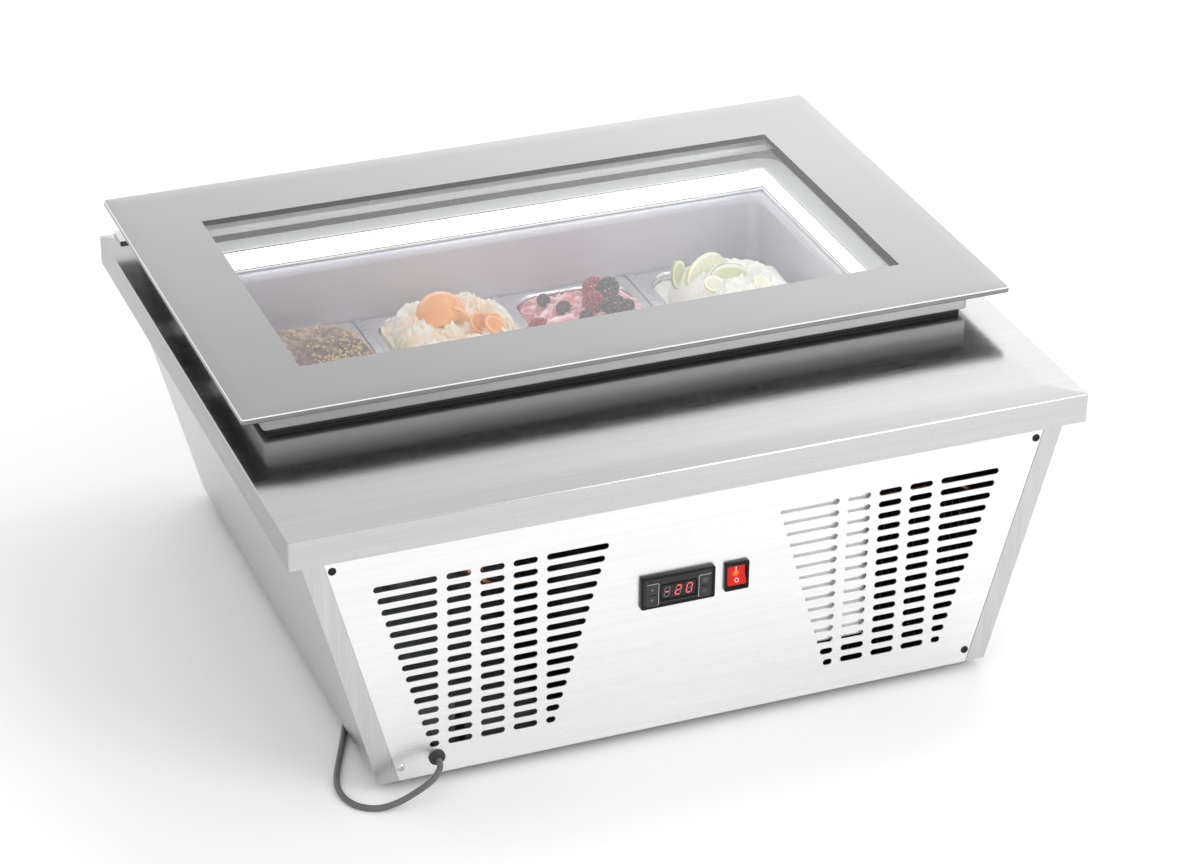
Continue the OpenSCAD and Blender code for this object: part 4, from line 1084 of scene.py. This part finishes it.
clear_glass = bpy.data.materials.new("clear_glass")
clear_glass.use_nodes = True
tree = clear_glass.node_tree
tree.nodes.remove(tree.nodes["Principled BSDF"])
see_through = node(clear_glass, "BsdfTransparent", Color=(0.93, 0.94, 0.94, 1))
smear = grain(clear_glass, (9, 9, 9), 3.0)
mirror = node(clear_glass, "BsdfAnisotropic", Color=(1, 1, 1, 1),
              Roughness=spread(clear_glass, smear, 0.02, 0.07))
slant = node(clear_glass, "LayerWeight", 1, Blend=0.5)
fifth = node(clear_glass, "Math", settings=[("operation", "POWER")], Value=slant)
fifth.node.inputs[1].default_value = 5.0
mirrored = spread(clear_glass, fifth, 0.065, 1.0, 0.0, 1.0)
mixed = node(clear_glass, "MixShader", Fac=mirrored).node
tree.links.new(see_through, mixed.inputs[1])
tree.links.new(mirror, mixed.inputs[2])
tree.links.new(mixed.outputs[0], tree.nodes["Material Output"].inputs["Surface"])
piece("lid_pane", [pane_grid], [border_print, clear_glass, bevel_painted_highlight, backing, grey_edge],
      which=pane_material, body="lid", stands_for=["lid_glass"])

# ---- Supply cord -------------------------------------------------------------------------------------
# A 6 mm round flex, 2.05 m long. It leaves a rubber grommet low on the front, loops to the floor,
# runs back under the body and is wound into a tied coil behind, with the plug beside it.

mm = 0.001
cord_exit = (-258, -319, 28)
cord_route = [
    cord_exit, (-258.8, -325, 27.8), (-261, -331, 27), (-265, -336, 25.5), (-270, -340, 23.2),
    (-276, -342, 20.4), (-283, -343, 17), (-293, -343, 12), (-304, -343, 7.6), (-315, -342, 4.6),
    (-325, -340, 3.2), (-334, -336, 3), (-342, -329, 3), (-347, -320, 3), (-350, -309, 3),
    (-350, -296, 3), (-347, -282, 3), (-341, -266, 3), (-334, -250, 3), (-326, -232, 3),
    (-317, -211, 3), (-308, -188, 3), (-299, -160, 3), (-290, -128, 3), (-281, -90, 3),
    (-271, -48, 3), (-261, -4, 3), (-250, 42, 3), (-238, 88, 3), (-225, 134, 3), (-211, 178, 3),
    (-196, 220, 3), (-181, 256, 3), (-169, 284, 3), (-163, 302, 3), (-162, 312, 3)]
cord_r = 3.0
coil_centre = np.array([-120.0, 327.0])
coil_slots = np.array([(42, 3), (36, 3), (30, 3), (30, 9), (36, 9), (42, 9)], float)
coil_turns = 16 / 3
change = 62.0  # degrees over which one turn passes to the next


def coil_points(count):
    """Turns that lie beside each other and then on each other.

    Each turn keeps its radius and height, and passes to the next over a short smooth step.
    """
    wound = np.linspace(0, 360 * coil_turns, count)
    place = np.zeros(count)
    for k in range(len(coil_slots) - 1):
        start = 360 * (k + 1) - change * (k + 1)
        t = np.clip((wound - start) / change, 0, 1)
        place += t * t * (3 - 2 * t)
    radius = np.interp(place, np.arange(6), coil_slots[:, 0])
    height = np.interp(place, np.arange(6), coil_slots[:, 1])
    angle = np.radians(180 - wound)
    return np.column_stack([coil_centre[0] + radius * np.cos(angle),
                            coil_centre[1] + radius * np.sin(angle), height])


def smooth_path(points, per_span):
    """A smooth curve through the points: a Catmull-Rom cubic on each span."""
    p = np.asarray(points, float)
    p = np.vstack([2 * p[0] - p[1], p, 2 * p[-1] - p[-2]])
    t = np.linspace(0, 1, per_span, endpoint=False)[None, :, None]
    a, b, c, d = (p[k:len(p) - 3 + k, None] for k in range(4))
    curve = 0.5 * (2 * b + (c - a) * t + (2 * a - 5 * b + 4 * c - d) * t**2
                   + (3 * b - a - 3 * c + d) * t**3)
    return np.vstack([curve.reshape(-1, 3), p[-2:-1]])


tail_run = np.array([(0, 9), (4, 9.05), (10, 9.4), (16, 10.6), (22, 12.8), (28, 15.2),
                     (33, 16.7), (36, 17.1)])
tail_way = np.array([math.cos(math.radians(30)), -math.sin(math.radians(30))])
coil = coil_points(240)
tail = np.column_stack([coil[-1, :2] + tail_run[:, :1] * tail_way, tail_run[:, 1]])
cord_path = np.vstack([smooth_path(cord_route, 4), coil, smooth_path(tail, 4)[1:]]) * mm
cord_curve = bpy.data.curves.new("supply_cord", "CURVE")
cord_curve.dimensions = "3D"
cord_curve.bevel_depth = cord_r * mm
cord_curve.bevel_resolution = 5
spline = cord_curve.splines.new("POLY")
spline.points.add(len(cord_path) - 1)
spline.points.foreach_set("co", np.column_stack([cord_path, np.ones(len(cord_path))]).ravel())
spline.use_smooth = True
cord_sheath = moulded("cord_sheath", (0.10, 0.10, 0.104), 0.42, 1100.0, 0.00003)
cord_curve.materials.append(cord_sheath)
supply_cord = bpy.data.objects.new("supply_cord", cord_curve)
bpy.context.scene.collection.objects.link(supply_cord)
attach(supply_cord, "cabinet")
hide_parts("power_cord", "cord_coil")
dress(rubber, "cord_grommet", "plug_body")
dress(black_plastic, "cord_tie")
nickel = finish("plug_nickel", (0.75, 0.74, 0.70), 0.2, 1.0)
drive(nickel, "Roughness", spread(nickel, grain(nickel, (300,) * 3), 0.12, 0.3))
dress(nickel, "plug_pins")

# ---- Floor, lamps and camera -------------------------------------------------------------------------
# A plain white floor under soft light: a white sky and two large soft lamps.

floor_mesh = bpy.data.meshes.new("floor")
floor_mesh.from_pydata([(-9, -9, 0), (9, -9, 0), (9, 9, 0), (-9, 9, 0)], [], [(0, 1, 2, 3)])
floor = bpy.data.objects.new("floor", floor_mesh)
bpy.context.scene.collection.objects.link(floor)
floor_white = finish("floor_white", (0.92, 0.92, 0.92), 0.7)
floor_mesh.materials.append(floor_white)
floor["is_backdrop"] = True

world = bpy.data.worlds.new("sky")
bpy.context.scene.world = world
world.use_nodes = True
world.node_tree.nodes["Background"].inputs["Color"].default_value = (1, 1, 1, 1)
# The sky is half as bright again low behind the cabinet's right side, and even everywhere else.
way = node(world, "SeparateXYZ", Vector=node(world, "TexCoord", 0)).node
lean = node(world, "Math", settings=[("operation", "DIVIDE")], Value=way.outputs["X"]).node
world.node_tree.links.new(way.outputs["Z"], lean.inputs[1])
behind = spread(world, way.outputs["Y"], 0.0, 1.0, 0.2, 0.7)
extra = node(world, "Math", settings=[("operation", "MULTIPLY_ADD")],
             Value=spread(world, lean.outputs[0], 0.0, 0.6, 0.55, 0.95)).node
world.node_tree.links.new(behind, extra.inputs[1])
extra.inputs[2].default_value = 1.0
world.node_tree.links.new(extra.outputs[0], world.node_tree.nodes["Background"].inputs["Strength"])


def soft_lamp(name, place, target, size, power):
    """A square soft lamp at place, facing target, size metres across."""
    data = bpy.data.lights.new(name, "AREA")
    data.size, data.energy = size, power
    lamp = bpy.data.objects.new(name, data)
    lamp.location = place
    aim = np.array(target) - np.array(place)
    lamp.rotation_euler = (math.acos(-aim[2] / np.linalg.norm(aim)), 0, math.atan2(aim[0], -aim[1]) + math.pi)
    bpy.context.scene.collection.objects.link(lamp)


soft_lamp("lamp_front_right", (2.2, -3.0, 2.6), (0, 0, 0.15), 2.2, 45)
soft_lamp("lamp_overhead", (0.9, 0.5, 2.2), (0, 0.1, 0.3), 0.9, 9)

camera_place = (-1.1492, -2.9355, 1.9207)
turned, tipped, rolled = 0.3815, 0.5086, 0.0134
camera_data = bpy.data.cameras.new("camera")
camera_data.lens = 106.7
camera_data.clip_end = 60
camera = bpy.data.objects.new("camera", camera_data)
camera.matrix_world = (Matrix.Translation(camera_place) @ Matrix.Rotation(-turned, 4, "Z")
                       @ Matrix.Rotation(math.pi / 2 - tipped, 4, "X") @ Matrix.Rotation(rolled, 4, "Z"))
bpy.context.scene.collection.objects.link(camera)
bpy.context.scene.camera = camera
bpy.context.scene.view_settings.view_transform = "Standard"

low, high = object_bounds()
